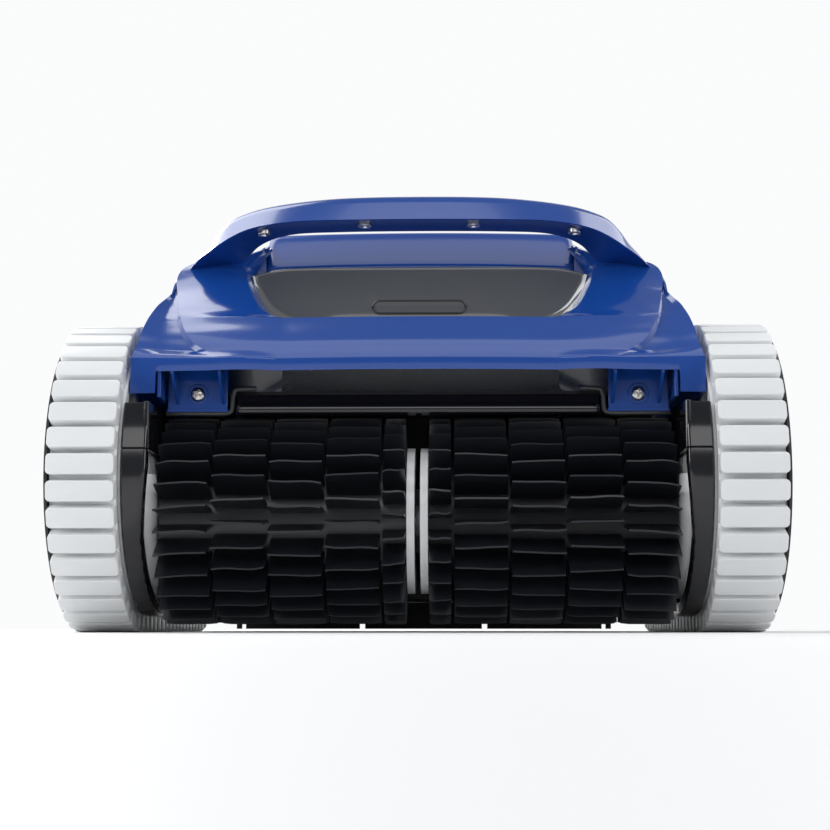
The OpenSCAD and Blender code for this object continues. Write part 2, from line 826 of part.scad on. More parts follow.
// Round duct from the impeller up to the grille, cut to the cover's slope
module pump_duct() {
  color("dimgray") difference() {
    translate([0, pump_y, box_z1 + seat_fit]) cylinder(h = 150, r = duct_r + 2.5);
    translate([0, pump_y, box_z1 - 1]) cylinder(h = 200, r = duct_r);
    at_outlet() translate([-100, -100, -grille_h - seat_fit]) cube([200, 200, 200]);
    for (a = [0, 90]) {
      translate([0, pump_y, box_z1 - 1]) rotate(a) translate([-60, -22, 0]) cube([120, 44, 11]);
    }
  }
}

module impeller() {
  color("orange") translate([0, pump_y, 0]) {
    translate([0, 0, impeller_z]) cylinder(h = 22, r = 11);
    for (i = [0 : 3]) {
      rotate(i * 90) translate([8, -1.5, impeller_z + 2]) cube([impeller_r - 8, 3, 18]);
    }
    translate([0, 0, box_z1 - 20]) cylinder(h = impeller_z - box_z1 + 24, r = shaft_r - seat_fit);
  }
}

// ---- Filter ----

module filter_basket() {
  x1 = basket_w;
  z1 = basket_z + basket_h;
  mid = (basket_y0 + basket_y1) / 2;
  color("dimgray") difference() {
    block([-x1, basket_y0, basket_z], [x1, basket_y1, z1]);
    block([-x1 + basket_t, basket_y0 + basket_t, basket_z + basket_t], [x1 - basket_t, basket_y1 - basket_t, z1 + 1]);
    for (x = duct_xs) {
      translate([x - duct_half[0] - duct_wall - 1, chamber_y - duct_half[1] - duct_wall - 1, basket_z - 1])
        cube([2 * (duct_half[0] + duct_wall + 1), 2 * (duct_half[1] + duct_wall + 1) + 8, 10]);
    }
    for (x = [-1, 0, 1]) {
      translate([x * (x1 / 1.55) - x1 / 3.7, basket_y0 - 5, basket_z + 28])
        cube([x1 / 1.85, basket_y1 - basket_y0 + 10, basket_h - 46]);
    }
    for (s = [-1, 1]) {
      translate([-x1 - 5, mid + s * 38 - 28, basket_z + 28]) cube([2 * x1 + 10, 56, basket_h - 46]);
    }
  }
}

module filter_mesh() {
  inner = basket_w - basket_t - seat_fit;
  y0 = basket_y0 + basket_t + seat_fit;
  y1 = basket_y1 - basket_t - seat_fit;
  color("lightgray") difference() {
    block([-inner, y0, basket_z + 22], [inner, y1, basket_z + basket_h - 12]);
    block([-inner + 1, y0 + 1, basket_z + 21], [inner - 1, y1 - 1, basket_z + basket_h]);
  }
}

// Bail across the top of the basket, folded against its rim
module basket_handle() {
  z = basket_z + basket_h - 7;
  inner = basket_w - basket_t - 1.6;
  color("gray") difference() {
    block([-inner, basket_y0 + 8, z], [inner, basket_y0 + 66, z + 5]);
    block([-inner + 7, basket_y0 + 15, z - 1], [inner - 7, basket_y0 + 70, z + 6]);
  }
}

// ---- Motor unit ----

module motor_box() {
  color("darkslategray") difference() {
    block([-box_half, box_y0, box_z0], [box_half, box_y1, box_z1 - 6]);
    block([-box_half + box_t, box_y0 + box_t, box_z0 + box_t], [box_half - box_t, box_y1 - box_t, box_z1]);
    for (s = [-1, 1]) {
      rod_x(s * box_half - 8, 16, shaft_r + run_fit, motor_y, motor_z);
    }
  }
}

module box_seal() {
  z = box_z1 - 6 + seat_fit / 2;
  color("red") difference() {
    block([-box_half + 0.6, box_y0 + 0.6, z], [box_half - 0.6, box_y1 - 0.6, z + 1.6]);
    block([-box_half + 2.6, box_y0 + 2.6, z - 1], [box_half - 2.6, box_y1 - 2.6, z + 3]);
  }
}

module motor_box_cover() {
  color("slategray") difference() {
    block([-box_half, box_y0, box_z1 - 4], [box_half, box_y1, box_z1]);
    translate([0, pump_y, box_z1 - 10]) cylinder(h = 20, r = shaft_r - seat_fit + run_fit);
  }
}

module pump_motor() {
  color("silver") translate([0, pump_y, 0]) difference() {
    union() {
      translate([0, 0, box_z0 + box_t + seat_fit]) cylinder(h = 62, r = pump_r);
      translate([0, 0, box_z0 + box_t + 62]) cylinder(h = 4, r = 12);
    }
    translate([0, 0, box_z1 - 24]) cylinder(h = 40, r = shaft_r + 1);
  }
}

module drive_motors() {
  color("silver") for (side = [-1, 1]) sided(side) difference() {
    union() {
      rod_x(box_half - box_t - 62, 60, drive_r, motor_y, motor_z);
      rod_x(box_half - box_t - 5, 4.6, drive_r - 6, motor_y, motor_z);
    }
    rod_x(box_half - box_t - 21, 30, shaft_r + run_fit, motor_y, motor_z);
  }
}

module drive_pinion(side) {
  color("goldenrod") sided(side) {
    along_x(gear_x, gear_w) translate([motor_y, motor_z]) polygon(spur_points(motor_teeth, motor_dir));
    rod_x(box_half - box_t - 18, gear_x - box_half + box_t + 18.5, shaft_r, motor_y, motor_z);
  }
}

module control_board() {
  color("green") {
    block([-108, box_y0 + 12, box_z0 + box_t + seat_fit], [-46, box_y1 - 12, box_z0 + box_t + 2]);
    block([-100, box_y1 - 60, box_z0 + box_t + 2], [-78, box_y1 - 30, box_z0 + box_t + 16]);
    block([-70, box_y1 - 44, box_z0 + box_t + 2], [-56, box_y1 - 26, box_z0 + box_t + 10]);
  }
}

// Socket for the floating cable, on the cover's slope behind the lid
module cable_inlet() {
  color("black") translate([inlet_x, inlet_y, lid_top - 61]) difference() {
    union() {
      cylinder(h = 26, r = inlet_r);
      translate([0, 0, 22]) cylinder(h = 6, r = inlet_r + 3);
    }
    translate([0, 0, 8]) cylinder(h = 30, r = 5);
  }
}

chassis_pan();
front_beam();
brush_bracket();
brush_hub();
brush_axle();
side_plate(-1);  // side_plate_left
side_plate(1);  // side_plate_right
side_ring(-1);  // side_ring_left
side_ring(1);  // side_ring_right
hub_plate(-1, front_y, brush_y, brush_z, stub_r);  // hub_plate_front_left
hub_plate(1, front_y, brush_y, brush_z, stub_r);  // hub_plate_front_right
hub_plate(-1, rear_y, motor_y, motor_z, shaft_r);  // hub_plate_rear_left
hub_plate(1, rear_y, motor_y, motor_z, shaft_r);  // hub_plate_rear_right
axles();
track(-1);  // track_left
track(1);  // track_right
top_cover();
handle_top();
handle_grip();
handle_screws();
cover_screws();
front_window();
lid_hinge_pin();
outlet_grille();
pump_duct();
motor_box();
motor_box_cover();
box_seal();
pump_motor();
drive_motors();
control_board();
cable_inlet();
skirt_flaps();
floats();
filter_basket();
filter_mesh();
basket_handle();
wheel(-1, front_y, brush_dir);  // wheel_front_left
wheel(1, front_y, brush_dir);  // wheel_front_right
wheel(-1, rear_y, motor_dir);  // wheel_rear_left
wheel(1, rear_y, motor_dir);  // wheel_rear_right
wheel_cap(-1, front_y);  // wheel_caps_left
wheel_cap(1, front_y);  // wheel_caps_right
wheel_cap(-1, rear_y);  // rear_caps_left
wheel_cap(1, rear_y);  // rear_caps_right
brush_core(-1);  // brush_core_left
brush_core(1);  // brush_core_right
brush_fins(-1);  // brush_fins_left
brush_fins(1);  // brush_fins_right
brush_disc(-1);  // brush_disc_left
brush_disc(1);  // brush_disc_right
brush_gear(-1);  // brush_gear_left
brush_gear(1);  // brush_gear_right
drive_pinion(-1);  // drive_pinion_left
drive_pinion(1);  // drive_pinion_right
intake_flap(-1);  // intake_flap_left
intake_flap(1);  // intake_flap_right
impeller();
lid();
lid_release();
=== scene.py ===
import json
import math
import random

import bmesh
import bpy
from mathutils import Matrix, Vector


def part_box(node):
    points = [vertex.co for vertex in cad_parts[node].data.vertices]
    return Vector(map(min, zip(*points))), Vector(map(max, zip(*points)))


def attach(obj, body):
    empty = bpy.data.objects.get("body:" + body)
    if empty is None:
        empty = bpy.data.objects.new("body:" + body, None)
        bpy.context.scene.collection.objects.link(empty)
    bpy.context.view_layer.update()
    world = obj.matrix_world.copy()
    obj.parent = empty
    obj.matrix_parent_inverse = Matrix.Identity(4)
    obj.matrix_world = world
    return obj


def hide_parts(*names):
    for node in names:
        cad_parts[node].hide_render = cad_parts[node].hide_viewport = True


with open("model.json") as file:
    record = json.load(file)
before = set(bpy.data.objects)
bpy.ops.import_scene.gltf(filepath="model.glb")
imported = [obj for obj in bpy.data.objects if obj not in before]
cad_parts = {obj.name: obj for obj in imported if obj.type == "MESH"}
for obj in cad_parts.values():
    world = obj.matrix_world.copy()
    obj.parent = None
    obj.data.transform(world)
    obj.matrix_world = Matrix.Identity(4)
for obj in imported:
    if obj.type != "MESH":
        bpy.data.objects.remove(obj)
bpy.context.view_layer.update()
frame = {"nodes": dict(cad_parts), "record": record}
MM = 0.001

# ---- Places taken from the frame


def low(node):
    return Vector(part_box(node)[0])


def high(node):
    return Vector(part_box(node)[1])


def middle(node):
    return (low(node) + high(node)) / 2


WHEEL_Y = middle("wheel_front_right").y
REAR_Y = middle("wheel_rear_right").y
AXLE_Z = middle("wheel_front_right").z
TRACK_X0 = low("track_right").x
TRACK_X1 = high("track_right").x
TRACK_R = high("track_right").z - AXLE_Z
BRUSH_Y = middle("brush_disc_right").y
BRUSH_Z = middle("brush_disc_right").z
BRUSH_X0 = low("brush_fins_right").x
BRUSH_X1 = high("brush_fins_right").x
BRUSH_R = (high("brush_fins_right").z - low("brush_fins_right").z) / 2
HANDLE_Y0 = low("handle_top").y
HANDLE_Y1 = high("handle_top").y
LID_Y0 = low("lid").y
WINDOW_TOP = high("front_window").z
RIM_Z = low("front_window").z

# ---- Mesh helpers


def finish_object(name, mesh, body, slot, node=None, sharp=35.0, mat=None):
    """Links a mesh as a piece that rides on a body and stands for a CAD node."""
    for poly in mesh.polygons:
        poly.use_smooth = True
    mesh.set_sharp_from_angle(angle=math.radians(sharp))
    obj = add_object(name, mesh)
    mesh.materials.append(mat or SLOT_MATERIALS[slot])
    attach(obj, body)
    if node:
        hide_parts(*([node] if isinstance(node, str) else node))
    return obj


def mesh_from(name, verts, faces, merge=0.02 * MM):
    """A mesh with doubled points merged and normals facing outwards."""
    bm = bmesh.new()
    made = [bm.verts.new(v) for v in verts]
    for face in faces:
        bm.faces.new([made[i] for i in face])
    bmesh.ops.remove_doubles(bm, verts=bm.verts, dist=merge)
    bmesh.ops.dissolve_degenerate(bm, dist=merge, edges=bm.edges)
    bmesh.ops.recalc_face_normals(bm, faces=bm.faces)
    mesh = bpy.data.meshes.new(name)
    bm.to_mesh(mesh)
    bm.free()
    return mesh


def grid_faces(rows, cols, start=0, loop_rows=False, loop_cols=False):
    """Quads between the points of a grid stored row by row."""
    faces = []
    for r in range(rows if loop_rows else rows - 1):
        for c in range(cols if loop_cols else cols - 1):
            r2, c2 = (r + 1) % rows, (c + 1) % cols
            faces.append((start + r * cols + c, start + r * cols + c2,
                          start + r2 * cols + c2, start + r2 * cols + c))
    return faces


def add_object(name, data):
    """A new object linked into the scene."""
    obj = bpy.data.objects.new(name, data)
    bpy.context.scene.collection.objects.link(obj)
    return obj


class Parts:
    """Collects points and faces of several grids and boxes for one mesh."""

    def __init__(self):
        self.verts = []
        self.faces = []

    def grid(self, rows, loop_rows=False, loop_cols=False):
        start = len(self.verts)
        for row in rows:
            self.verts.extend(row)
        self.faces.extend(grid_faces(len(rows), len(rows[0]), start, loop_rows, loop_cols))
        return self

    def mirror(self):
        """Adds the mirror image across the middle plane."""
        start = len(self.verts)
        self.verts.extend([(-v[0], v[1], v[2]) for v in self.verts])
        self.faces.extend([tuple(start + i for i in reversed(f)) for f in list(self.faces)])
        return self

    def cap(self, start, count, flip=False):
        """Adds one face over a run of points."""
        face = tuple(range(start, start + count))
        self.faces.append(face[::-1] if flip else face)

    def hand(self, side):
        """Turns a right-hand piece into a left-hand one where the side is negative."""
        if side < 0:
            self.verts = [(-v[0], v[1], v[2]) for v in self.verts]
            self.faces = [tuple(reversed(f)) for f in self.faces]

    def mesh(self, name, merge=0.02 * MM):
        return mesh_from(name, self.verts, self.faces, merge)

    def piece(self, name, *args, merge=0.02 * MM, **options):
        """Makes the mesh and links it as a piece, with finish_object's arguments."""
        return finish_object(name, self.mesh(name, merge), *args, **options)


def spline(keys, count):
    """Catmull-Rom through rows of numbers: count rows evenly spread over the keys."""
    out = []
    last = len(keys) - 1
    for i in range(count):
        t = i / (count - 1) * last
        k = min(int(t), last - 1)
        f = t - k
        p0, p1, p2, p3 = keys[max(k - 1, 0)], keys[k], keys[k + 1], keys[min(k + 2, last)]
        out.append([0.5 * (2 * b + (c - a) * f + (2 * a - 5 * b + 4 * c - d) * f * f
                           + (3 * b - a - 3 * c + d) * f ** 3)
                    for a, b, c, d in zip(p0, p1, p2, p3)])
    return out


def add_modifiers(obj, solid=0.0, bevel=0.0, segments=3, angle=40.0, offset=-1.0):
    if solid:
        mod = obj.modifiers.new("wall", "SOLIDIFY")
        mod.thickness = solid
        mod.offset = offset
        mod.use_even_offset = False
    if bevel:
        mod = obj.modifiers.new("edge", "BEVEL")
        mod.width = bevel
        mod.segments = segments
        mod.limit_method = "ANGLE"
        mod.angle_limit = math.radians(angle)
        mod.harden_normals = True
        mod.use_clamp_overlap = True


def lathe(profile, centre, axis, steps=64):
    """Rows of points made by turning (distance along axis, radius) pairs about an axis."""
    spin = Vector(axis).normalized().to_track_quat("Z", "X").to_matrix()
    rows = []
    for along, radius in profile:
        row = []
        for k in range(steps):
            a = 2 * math.pi * k / steps
            turned = spin @ Vector((radius * math.cos(a), radius * math.sin(a), along))
            row.append(tuple(Vector(centre) + turned))
        rows.append(row)
    return rows


# ---- Materials


def add_node(nodes, kind, **sockets):
    """A shader node with its named sockets set; underscores in a name stand for spaces."""
    node = nodes.new("ShaderNode" + kind)
    for socket, value in sockets.items():
        node.inputs[socket.replace("_", " ")].default_value = value
    return node


def new_material(name, color, rough, bump=0.0, scale=400.0, rough_var=0.0, tint=0.0, coat=0.0,
                 specular=0.5, transmission=0.0, metallic=0.0, stretch=(1, 1, 1)):
    """A surface with fine grain bump, uneven gloss and slight colour drift."""
    mat = bpy.data.materials.new(name)
    mat.use_nodes = True
    nodes, links = mat.node_tree.nodes, mat.node_tree.links
    shader = nodes["Principled BSDF"]
    for socket, value in {"Base Color": (*color, 1), "Roughness": rough, "Metallic": metallic,
                          "Specular IOR Level": specular, "Coat Weight": coat, "Coat Roughness": 0.04,
                          "Transmission Weight": transmission}.items():
        shader.inputs[socket].default_value = value
    coords = nodes.new("ShaderNodeTexCoord")
    mapping = add_node(nodes, "Mapping", Scale=stretch)
    links.new(coords.outputs["Object"], mapping.inputs["Vector"])
    fine = add_node(nodes, "TexNoise", Scale=scale, Detail=4.0)
    links.new(mapping.outputs["Vector"], fine.inputs["Vector"])
    broad = add_node(nodes, "TexNoise", Scale=14.0, Detail=3.0)
    links.new(mapping.outputs["Vector"], broad.inputs["Vector"])
    if bump:
        node = add_node(nodes, "Bump", Strength=bump, Distance=0.0004)
        links.new(fine.outputs["Fac"], node.inputs["Height"])
        links.new(node.outputs["Normal"], shader.inputs["Normal"])
    if rough_var:
        ramp = add_node(nodes, "MapRange", To_Min=max(0.02, rough - rough_var), To_Max=rough + rough_var)
        links.new(broad.outputs["Fac"], ramp.inputs["Value"])
        links.new(ramp.outputs["Result"], shader.inputs["Roughness"])
    if tint:
        mix = nodes.new("ShaderNodeMix")
        mix.data_type = "RGBA"
        mix.inputs["A"].default_value = (*[c * (1 - tint) for c in color], 1)
        mix.inputs["B"].default_value = (*[min(1, c * (1 + tint)) for c in color], 1)
        links.new(broad.outputs["Fac"], mix.inputs["Factor"])
        links.new(mix.outputs["Result"], shader.inputs["Base Color"])
    return mat


def mesh_material():
    """Fine woven filter cloth: crossed threads in bump and shade."""
    mat = new_material("filter_weave", (0.6, 0.61, 0.63), 0.6, bump=0.0, tint=0.05)
    nodes, links = mat.node_tree.nodes, mat.node_tree.links
    coords = nodes.new("ShaderNodeTexCoord")
    bands = []
    for axis in ("X", "Z", "Y"):
        wave = add_node(nodes, "TexWave", Scale=180.0)
        wave.bands_direction = axis
        links.new(coords.outputs["Object"], wave.inputs["Vector"])
        bands.append(wave)
    add = nodes.new("ShaderNodeMath")
    add.operation = "MULTIPLY"
    links.new(bands[0].outputs["Fac"], add.inputs[0])
    links.new(bands[1].outputs["Fac"], add.inputs[1])
    both = nodes.new("ShaderNodeMath")
    both.operation = "MAXIMUM"
    links.new(add.outputs["Value"], both.inputs[0])
    links.new(bands[2].outputs["Fac"], both.inputs[1])
    node = add_node(nodes, "Bump", Strength=0.6, Distance=0.0006)
    links.new(both.outputs["Value"], node.inputs["Height"])
    links.new(node.outputs["Normal"], nodes["Principled BSDF"].inputs["Normal"])
    return mat


# Slot in the record: name, colour, roughness, bump, grain size, gloss and colour variation
SLOT_MATERIALS = {
    "cover_blue": new_material("glossy_blue", (0.008, 0.058, 0.30), 0.15, 0.02, 900, 0.03, 0.05, coat=0.25),
    "track_white": new_material("track_white", (0.78, 0.795, 0.80), 0.36, 0.12, 700, 0.08, 0.03),
    "white_plastic": new_material("white_plastic", (0.86, 0.87, 0.88), 0.35, 0.04, 800, 0.05, 0.02),
    "black_gloss": new_material("glossy_black", (0.006, 0.006, 0.008), 0.13, 0.02, 900, 0.04, 0.1,
                                coat=0.3),
    "black_plastic": new_material("satin_black", (0.012, 0.012, 0.014), 0.34, 0.1, 700, 0.08, 0.12),
    "black_rubber": new_material("rubber_black", (0.010, 0.012, 0.016), 0.33, 0.1, 600, 0.08, 0.15),
    "dark_plastic": new_material("dark_plastic", (0.035, 0.037, 0.042), 0.3, 0.06, 700, 0.06, 0.1),
    "grey_plastic": new_material("grey_clear", (0.5, 0.53, 0.57), 0.2, 0.03, 700, 0.05, 0.05,
                                 transmission=0.35),
    "steel": new_material("steel", (0.62, 0.61, 0.6), 0.24, 0.05, 1500, 0.06, 0.04, metallic=1.0),
    "smoked": new_material("smoked", (0.11, 0.115, 0.12), 0.08, 0.01, 900, 0.02, 0.05, coat=0.5),
    "seal_red": new_material("seal_red", (0.35, 0.03, 0.02), 0.5, 0.08, 500, 0.06, 0.1),
    "motor_metal": new_material("motor_metal", (0.5, 0.5, 0.52), 0.32, 0.05, 900, 0.08, 0.05, metallic=1.0,
                                stretch=(1, 1, 8)),
    "board_green": new_material("board_green", (0.01, 0.1, 0.04), 0.3, 0.1, 300, 0.05, 0.2),
    "foam": new_material("foam", (0.7, 0.7, 0.66), 0.85, 0.5, 260, 0.05, 0.06),
    "mesh": mesh_material(),
    "gear_ivory": new_material("gear_ivory", (0.68, 0.63, 0.5), 0.4, 0.05, 600, 0.06, 0.04),
    "impeller_plastic": new_material("impeller_plastic", (0.5, 0.14, 0.02), 0.35, 0.05, 600, 0.05, 0.06),
}
# Grip material: the rougher, less glossy finish is the grip's own; its darker blue is painted shade of the
# handle's underside
GRIP_MATTE_AND_SHADE = new_material("grip_matte_and_painted_shade", (0.004, 0.04, 0.24), 0.35, 0.08, 900, 0.05, 0.06, specular=0.25)
# Near-black for the slot's lip and hollow: painted shade of the recess, darker than the smoked plastic around
# it
SLOT_PAINTED_SHADE = new_material("slot_painted_shade", (0.02, 0.02, 0.022), 0.2, 0.03, 900, 0.04, 0.1)


def dress_cad_nodes():
    """Gives every CAD node the material of its slot in the record."""
    for part in frame["record"]["subparts"]:
        obj = frame["nodes"][part["node"]]
        obj.data.materials.clear()
        obj.data.materials.append(SLOT_MATERIALS[part["material_slot"]])


# ---- Cover

# Front rows of the cover's right half, bottom to top, in millimetres: inner edge x y z, crease x y z,
# corner x y z, and where the row meets the side section at the joint: x z
LIP_ROWS = [
    [0, -197.6, 157.0, 127, -197.0, 157.3, 174.4, -193.0, 144.0, 172.0, 141.0],
    [0, -198.4, 161.0, 127, -197.8, 161.4, 174.4, -193.6, 155.0, 172.0, 154.0],
    [0, -198.6, 164.2, 127, -198.0, 164.6, 174.4, -193.8, 165.8, 172.0, 164.0],
]
PLATE_ROWS = [
    [0, -198.2, 165.0, 124, -197.6, 165.4, 173.8, -193.2, 166.8, 172.0, 164.6],
    [0, -192.8, 170.2, 129, -190.8, 170.2, 172.9, -189.5, 171.6, 172.0, 171.0],
    [0, -186.6, 176.8, 138, -183.6, 176.8, 172.0, -182.8, 177.3, 172.0, 179.0],
    [0, -178.5, 183.8, 143.5, -176.0, 184.0, 171.8, -175.0, 184.5, 171.8, 186.5],
    [0, -169.5, 190.8, 147.5, -167.5, 191.0, 171.2, -166.5, 191.5, 171.3, 193.5],
    [0, -163.2, 196.0, 150.0, -160.5, 196.8, 170.4, -159.5, 197.0, 170.4, 199.5],
]
OPEN_ROWS = [
    [84.0] + PLATE_ROWS[-1][1:],
    [88.5, -160.0, 197.2, 151.0, -157.8, 199.0, 169.8, -156.5, 199.4, 169.8, 202.0],
    [94.5, -154.5, 200.4, 152.3, -153.2, 202.4, 168.9, -151.5, 203.0, 168.8, 206.0],
    [101.0, -147.0, 206.0, 154.2, -145.5, 208.0, 167.0, -144.5, 208.4, 166.6, 212.0],
    [106.5, -136.0, 214.5, 156.2, -136.0, 214.6, 163.4, -134.5, 215.0, 163.0, 220.0],
    [110.5, -125.5, 223.0, 158.0, -127.0, 221.0, 160.6, -125.5, 221.0, 158.0, 227.5],
    [113.5, -116.0, 230.6, 160.2, -117.5, 229.0, 160.0, -113.0, 228.6, 152.0, 234.0],
    [115.5, -107.5, 237.0, 160.0, -109.5, 236.4, 157.8, -103.5, 235.6, 145.0, 240.5],
    [115.6, -103.0, 240.6, 157.2, -103.0, 242.2, 153.6, -97.0, 241.4, 138.0, 245.6],
    [114.5, -98.0, 244.0, 150.0, -97.5, 246.5, 146.0, -93.0, 246.4, 131.0, 249.6],
    [110.0, -92.5, 251.0, 128.0, -91.0, 251.4, 124.0, -89.5, 252.8, 117.0, 254.4],
    [104.5, -88.5, 257.6, 104.6, -88.3, 257.6, 104.7, -88.2, 257.6, 104.8, 257.7],
]
JOINT_Y = -88.0
# Sections behind the joint: y, then x z of nine points from the foot to the lid's edge
REAR_SECTIONS = [
    [-60, 172, 141, 172, 165, 172, 190, 170.5, 202, 166, 214, 157, 227, 143, 241, 125, 255, 104.5, 268.0],
    [-30, 172, 141, 172, 165, 172, 192, 170.5, 204, 166, 216, 157, 229, 143, 245, 125, 261, 104.5, 275.5],
    [5, 172, 141, 172, 165, 172, 192, 170.3, 204, 165.5, 216, 156.5, 229, 142, 245, 124, 261.5, 104.5, 276.5],
    [45, 172, 141, 172, 164, 171.8, 189, 169.8, 200, 164.5, 212, 155, 225, 141, 240, 123, 256, 104.5, 270.8],
    [80, 171.6, 141, 171.6, 163, 171.2, 186, 169, 196, 163.5, 207, 154, 219, 139, 233, 122, 247.5,
     104.5, 261.2],
]
TAIL_SECTIONS = [
    REAR_SECTIONS[-1],
    [112, 171, 141, 171, 162, 170.4, 182, 168, 191, 162, 201, 152.5, 212, 137, 225, 119, 237.5, 101, 248.2],
    [140, 170, 141, 170, 161, 169, 178, 166, 186, 160, 195, 150, 205, 134, 216.5, 115, 227.5, 97, 236.6],
    [165, 168.5, 141, 168.3, 159, 167, 173, 163.5, 180, 157, 188, 147, 197, 131, 207, 112, 217, 94, 225.6],
    [186, 165.5, 141, 165, 156, 163.4, 167, 159.5, 173, 153, 180, 143, 188, 128, 197, 110, 206, 92, 214.2],
    [197.5, 162, 141, 161.4, 152, 159.6, 161, 156, 166, 150, 171.5, 140, 178, 126, 186, 109, 194, 91, 201.0],
    [204, 158.5, 141, 157.8, 148, 156, 154, 153, 158, 147, 162, 138, 167, 124, 173, 108, 180, 90, 186.0],
    [206.6, 156, 141, 155.4, 145, 153.6, 149, 151, 151.5, 146, 154, 137, 157, 123, 161, 107, 165, 89, 168.6],
    [206.8, 155.6, 141, 155, 143, 153, 144.6, 150.6, 145.6, 145.6, 146.6, 136.6, 148, 122.6, 150,
     106.6, 152, 88.6, 154],
]
CROWN = 2.5
FACE_STEPS = 22
FENDER_SHARES = [0, 0.04, 0.1, 0.2, 0.4, 0.55, 0.665, 0.676, 0.85, 1]
POST_SHARE = 0.67
SIDE_STEPS = 10


def front_row(key, middle_steps):
    """One front row: from the middle or the opening's edge, over the crease and the corner, to the joint."""
    xi, yi, zi, xc, yc, zc, xw, yw, zw, xj, zj = key
    pts = []
    if middle_steps:
        for k in range(middle_steps):
            t = k / middle_steps
            pts.append((84 * t, yi - 0.5 * (1 - t * t), zi + CROWN * (1 - t * t) * 0.25))
        xi = 84.0
    for k in range(FACE_STEPS):
        t = k / FACE_STEPS
        bulge = 1.1 * math.sin(math.pi * t)
        pts.append((xi + (xc - xi) * t, yi + (yc - yi) * t ** 2 - bulge, zi + (zc - zi) * t + 0.4 * bulge))
    step = min(1.0, max(0.0, (zc - 167.0) / 5)) * min(1.0, max(0.0, (248 - zc) / 6))
    for t in FENDER_SHARES:
        dip = 2.6 * step * (min(1.0, t * 10) if t < 0.5 else (1 - t) / 0.5)
        fall = (0.0 if t < POST_SHARE else 1.0) if zc < 164.0 else t
        pts.append((xc + (xw - xc) * t, yc + (yw - yc) * t + dip * 0.8, zc + (zw - zc) * fall - dip * 0.6))
    for k in range(1, SIDE_STEPS + 1):
        t = k / SIDE_STEPS
        out = 0.7 * math.sin(math.pi * t)
        pts.append((xw + (xj - xw) * t + out * 0.3, yw + (JOINT_Y - yw) * t, zw + (zj - zw) * t))
    return [(x * MM, y * MM, z * MM) for x, y, z in pts]


def section_points(values, count):
    """Evenly counted points through a section's x z pairs."""
    pairs = [values[i:i + 2] for i in range(0, len(values), 2)]
    return spline(pairs, count)


def tail_top(values, y, count):
    """Crowned top of a rear section, from its last point to the middle."""
    x0, z0 = values[-2:]
    return [(x0 * (1 - k / count) * MM, (y + 1.2 * (1 - (1 - k / count) ** 2)) * MM,
             (z0 + (CROWN + 2) * (1 - (1 - k / count) ** 2)) * MM) for k in range(1, count + 1)]


def build_cover():
    """Cover shell: front, shoulders and tail as one half, mirrored, with the recess wall and outlet hole."""
    parts = Parts()
    lip = [front_row(k, 14) for k in spline(LIP_ROWS, 7)]
    plate = [front_row(k, 14) for k in spline(PLATE_ROWS, 36)]
    opened = spline(OPEN_ROWS, 67)
    upper = [front_row(k, 0) for k in opened]
    parts.grid(lip + plate).grid(upper)
    joint = [row[-1] for row in lip + plate] + [row[-1] for row in upper[1:]]
    count = len(joint)
    sections = []
    for values in spline(REAR_SECTIONS, 41):
        pts = section_points(values[1:], count)
        lift = [(x * MM, values[0] * MM, z * MM) for x, z in pts]
        share = min(1.0, (values[0] - JOINT_Y) / 60)
        ease = share * share * (3 - 2 * share)
        sections.append([tuple(Vector(a).lerp(Vector(b), ease)) if ease < 1 else b for a, b in
                         zip([(p[0], values[0] * MM, p[2] + (lift[-1][2] - joint[-1][2]) * (i / count) ** 3)
                              for i, p in enumerate(joint)], lift)])
    parts.grid([joint] + sections)
    tail = []
    for values in spline(TAIL_SECTIONS, 57):
        row = [(x * MM, values[0] * MM, z * MM) for x, z in section_points(values[1:], count)]
        tail.append(row + tail_top(values[1:], values[0], 14))
    parts.grid(tail)
    # Wall of the hand recess: a slanted rim all round the opening
    edge = [(p[0] / MM, p[1] / MM, p[2] / MM) for p in plate[-1][:15]]
    edge += [(k[0], k[1], k[2]) for k in opened[1:]]
    rows = []
    for x, y, z in edge:
        side = min(1.0, max(0.0, (x - 78) / 26))
        deep = 9.0 + (15.0 if x > 84 else 15.0 * side)
        deep = min(deep, -86.0 - y)
        inward = 4.5 * side
        row = [((x - inward * min(1, t / 6)) * MM, (y + deep * t / 8) * MM,
                (z - 0.9 * (1 - side) * min(1, t / 3)) * MM) for t in range(9)]
        if x > 84:
            last = Vector(row[-1])
            cheek = Vector((104.6 * MM, (-85.8 if z > 215 else y + deep + 6) * MM, (z + 1.0) * MM))
            if z <= 215:
                cheek.x = min(last.x, 104.6 * MM)
            row += [tuple(last.lerp(cheek, t / 4)) for t in range(1, 5)]
        else:
            row += [(p[0], p[1] + 0.2 * MM * (k + 1), p[2]) for k, p in enumerate([row[-1]] * 4)]
        rows.append(row)
    parts.grid(rows)
    parts.mirror()
    obj = parts.piece("cover_shell", "chassis", "cover_blue", "top_cover", sharp=30, merge=0.06 * MM)
    add_modifiers(obj, solid=2.4 * MM)
    cut_outlet(obj)
    add_modifiers(obj, bevel=0.8 * MM, segments=3, angle=28)


def outlet_frame():
    """Place of the water outlet on the rear slope: origin at the grille's middle, Z out of the slope."""
    box_low, box_high = low("outlet_grille"), high("outlet_grille")
    centre = (box_low + box_high) / 2
    rise = box_high.z - box_low.z
    radius = (box_high.x - box_low.x) / 2
    thick = 6 * MM
    tilt = math.asin(min(1.0, (rise - thick * 0.92) / (2 * radius)))
    return Matrix.Translation(centre) @ Matrix.Rotation(-tilt, 4, "X"), radius


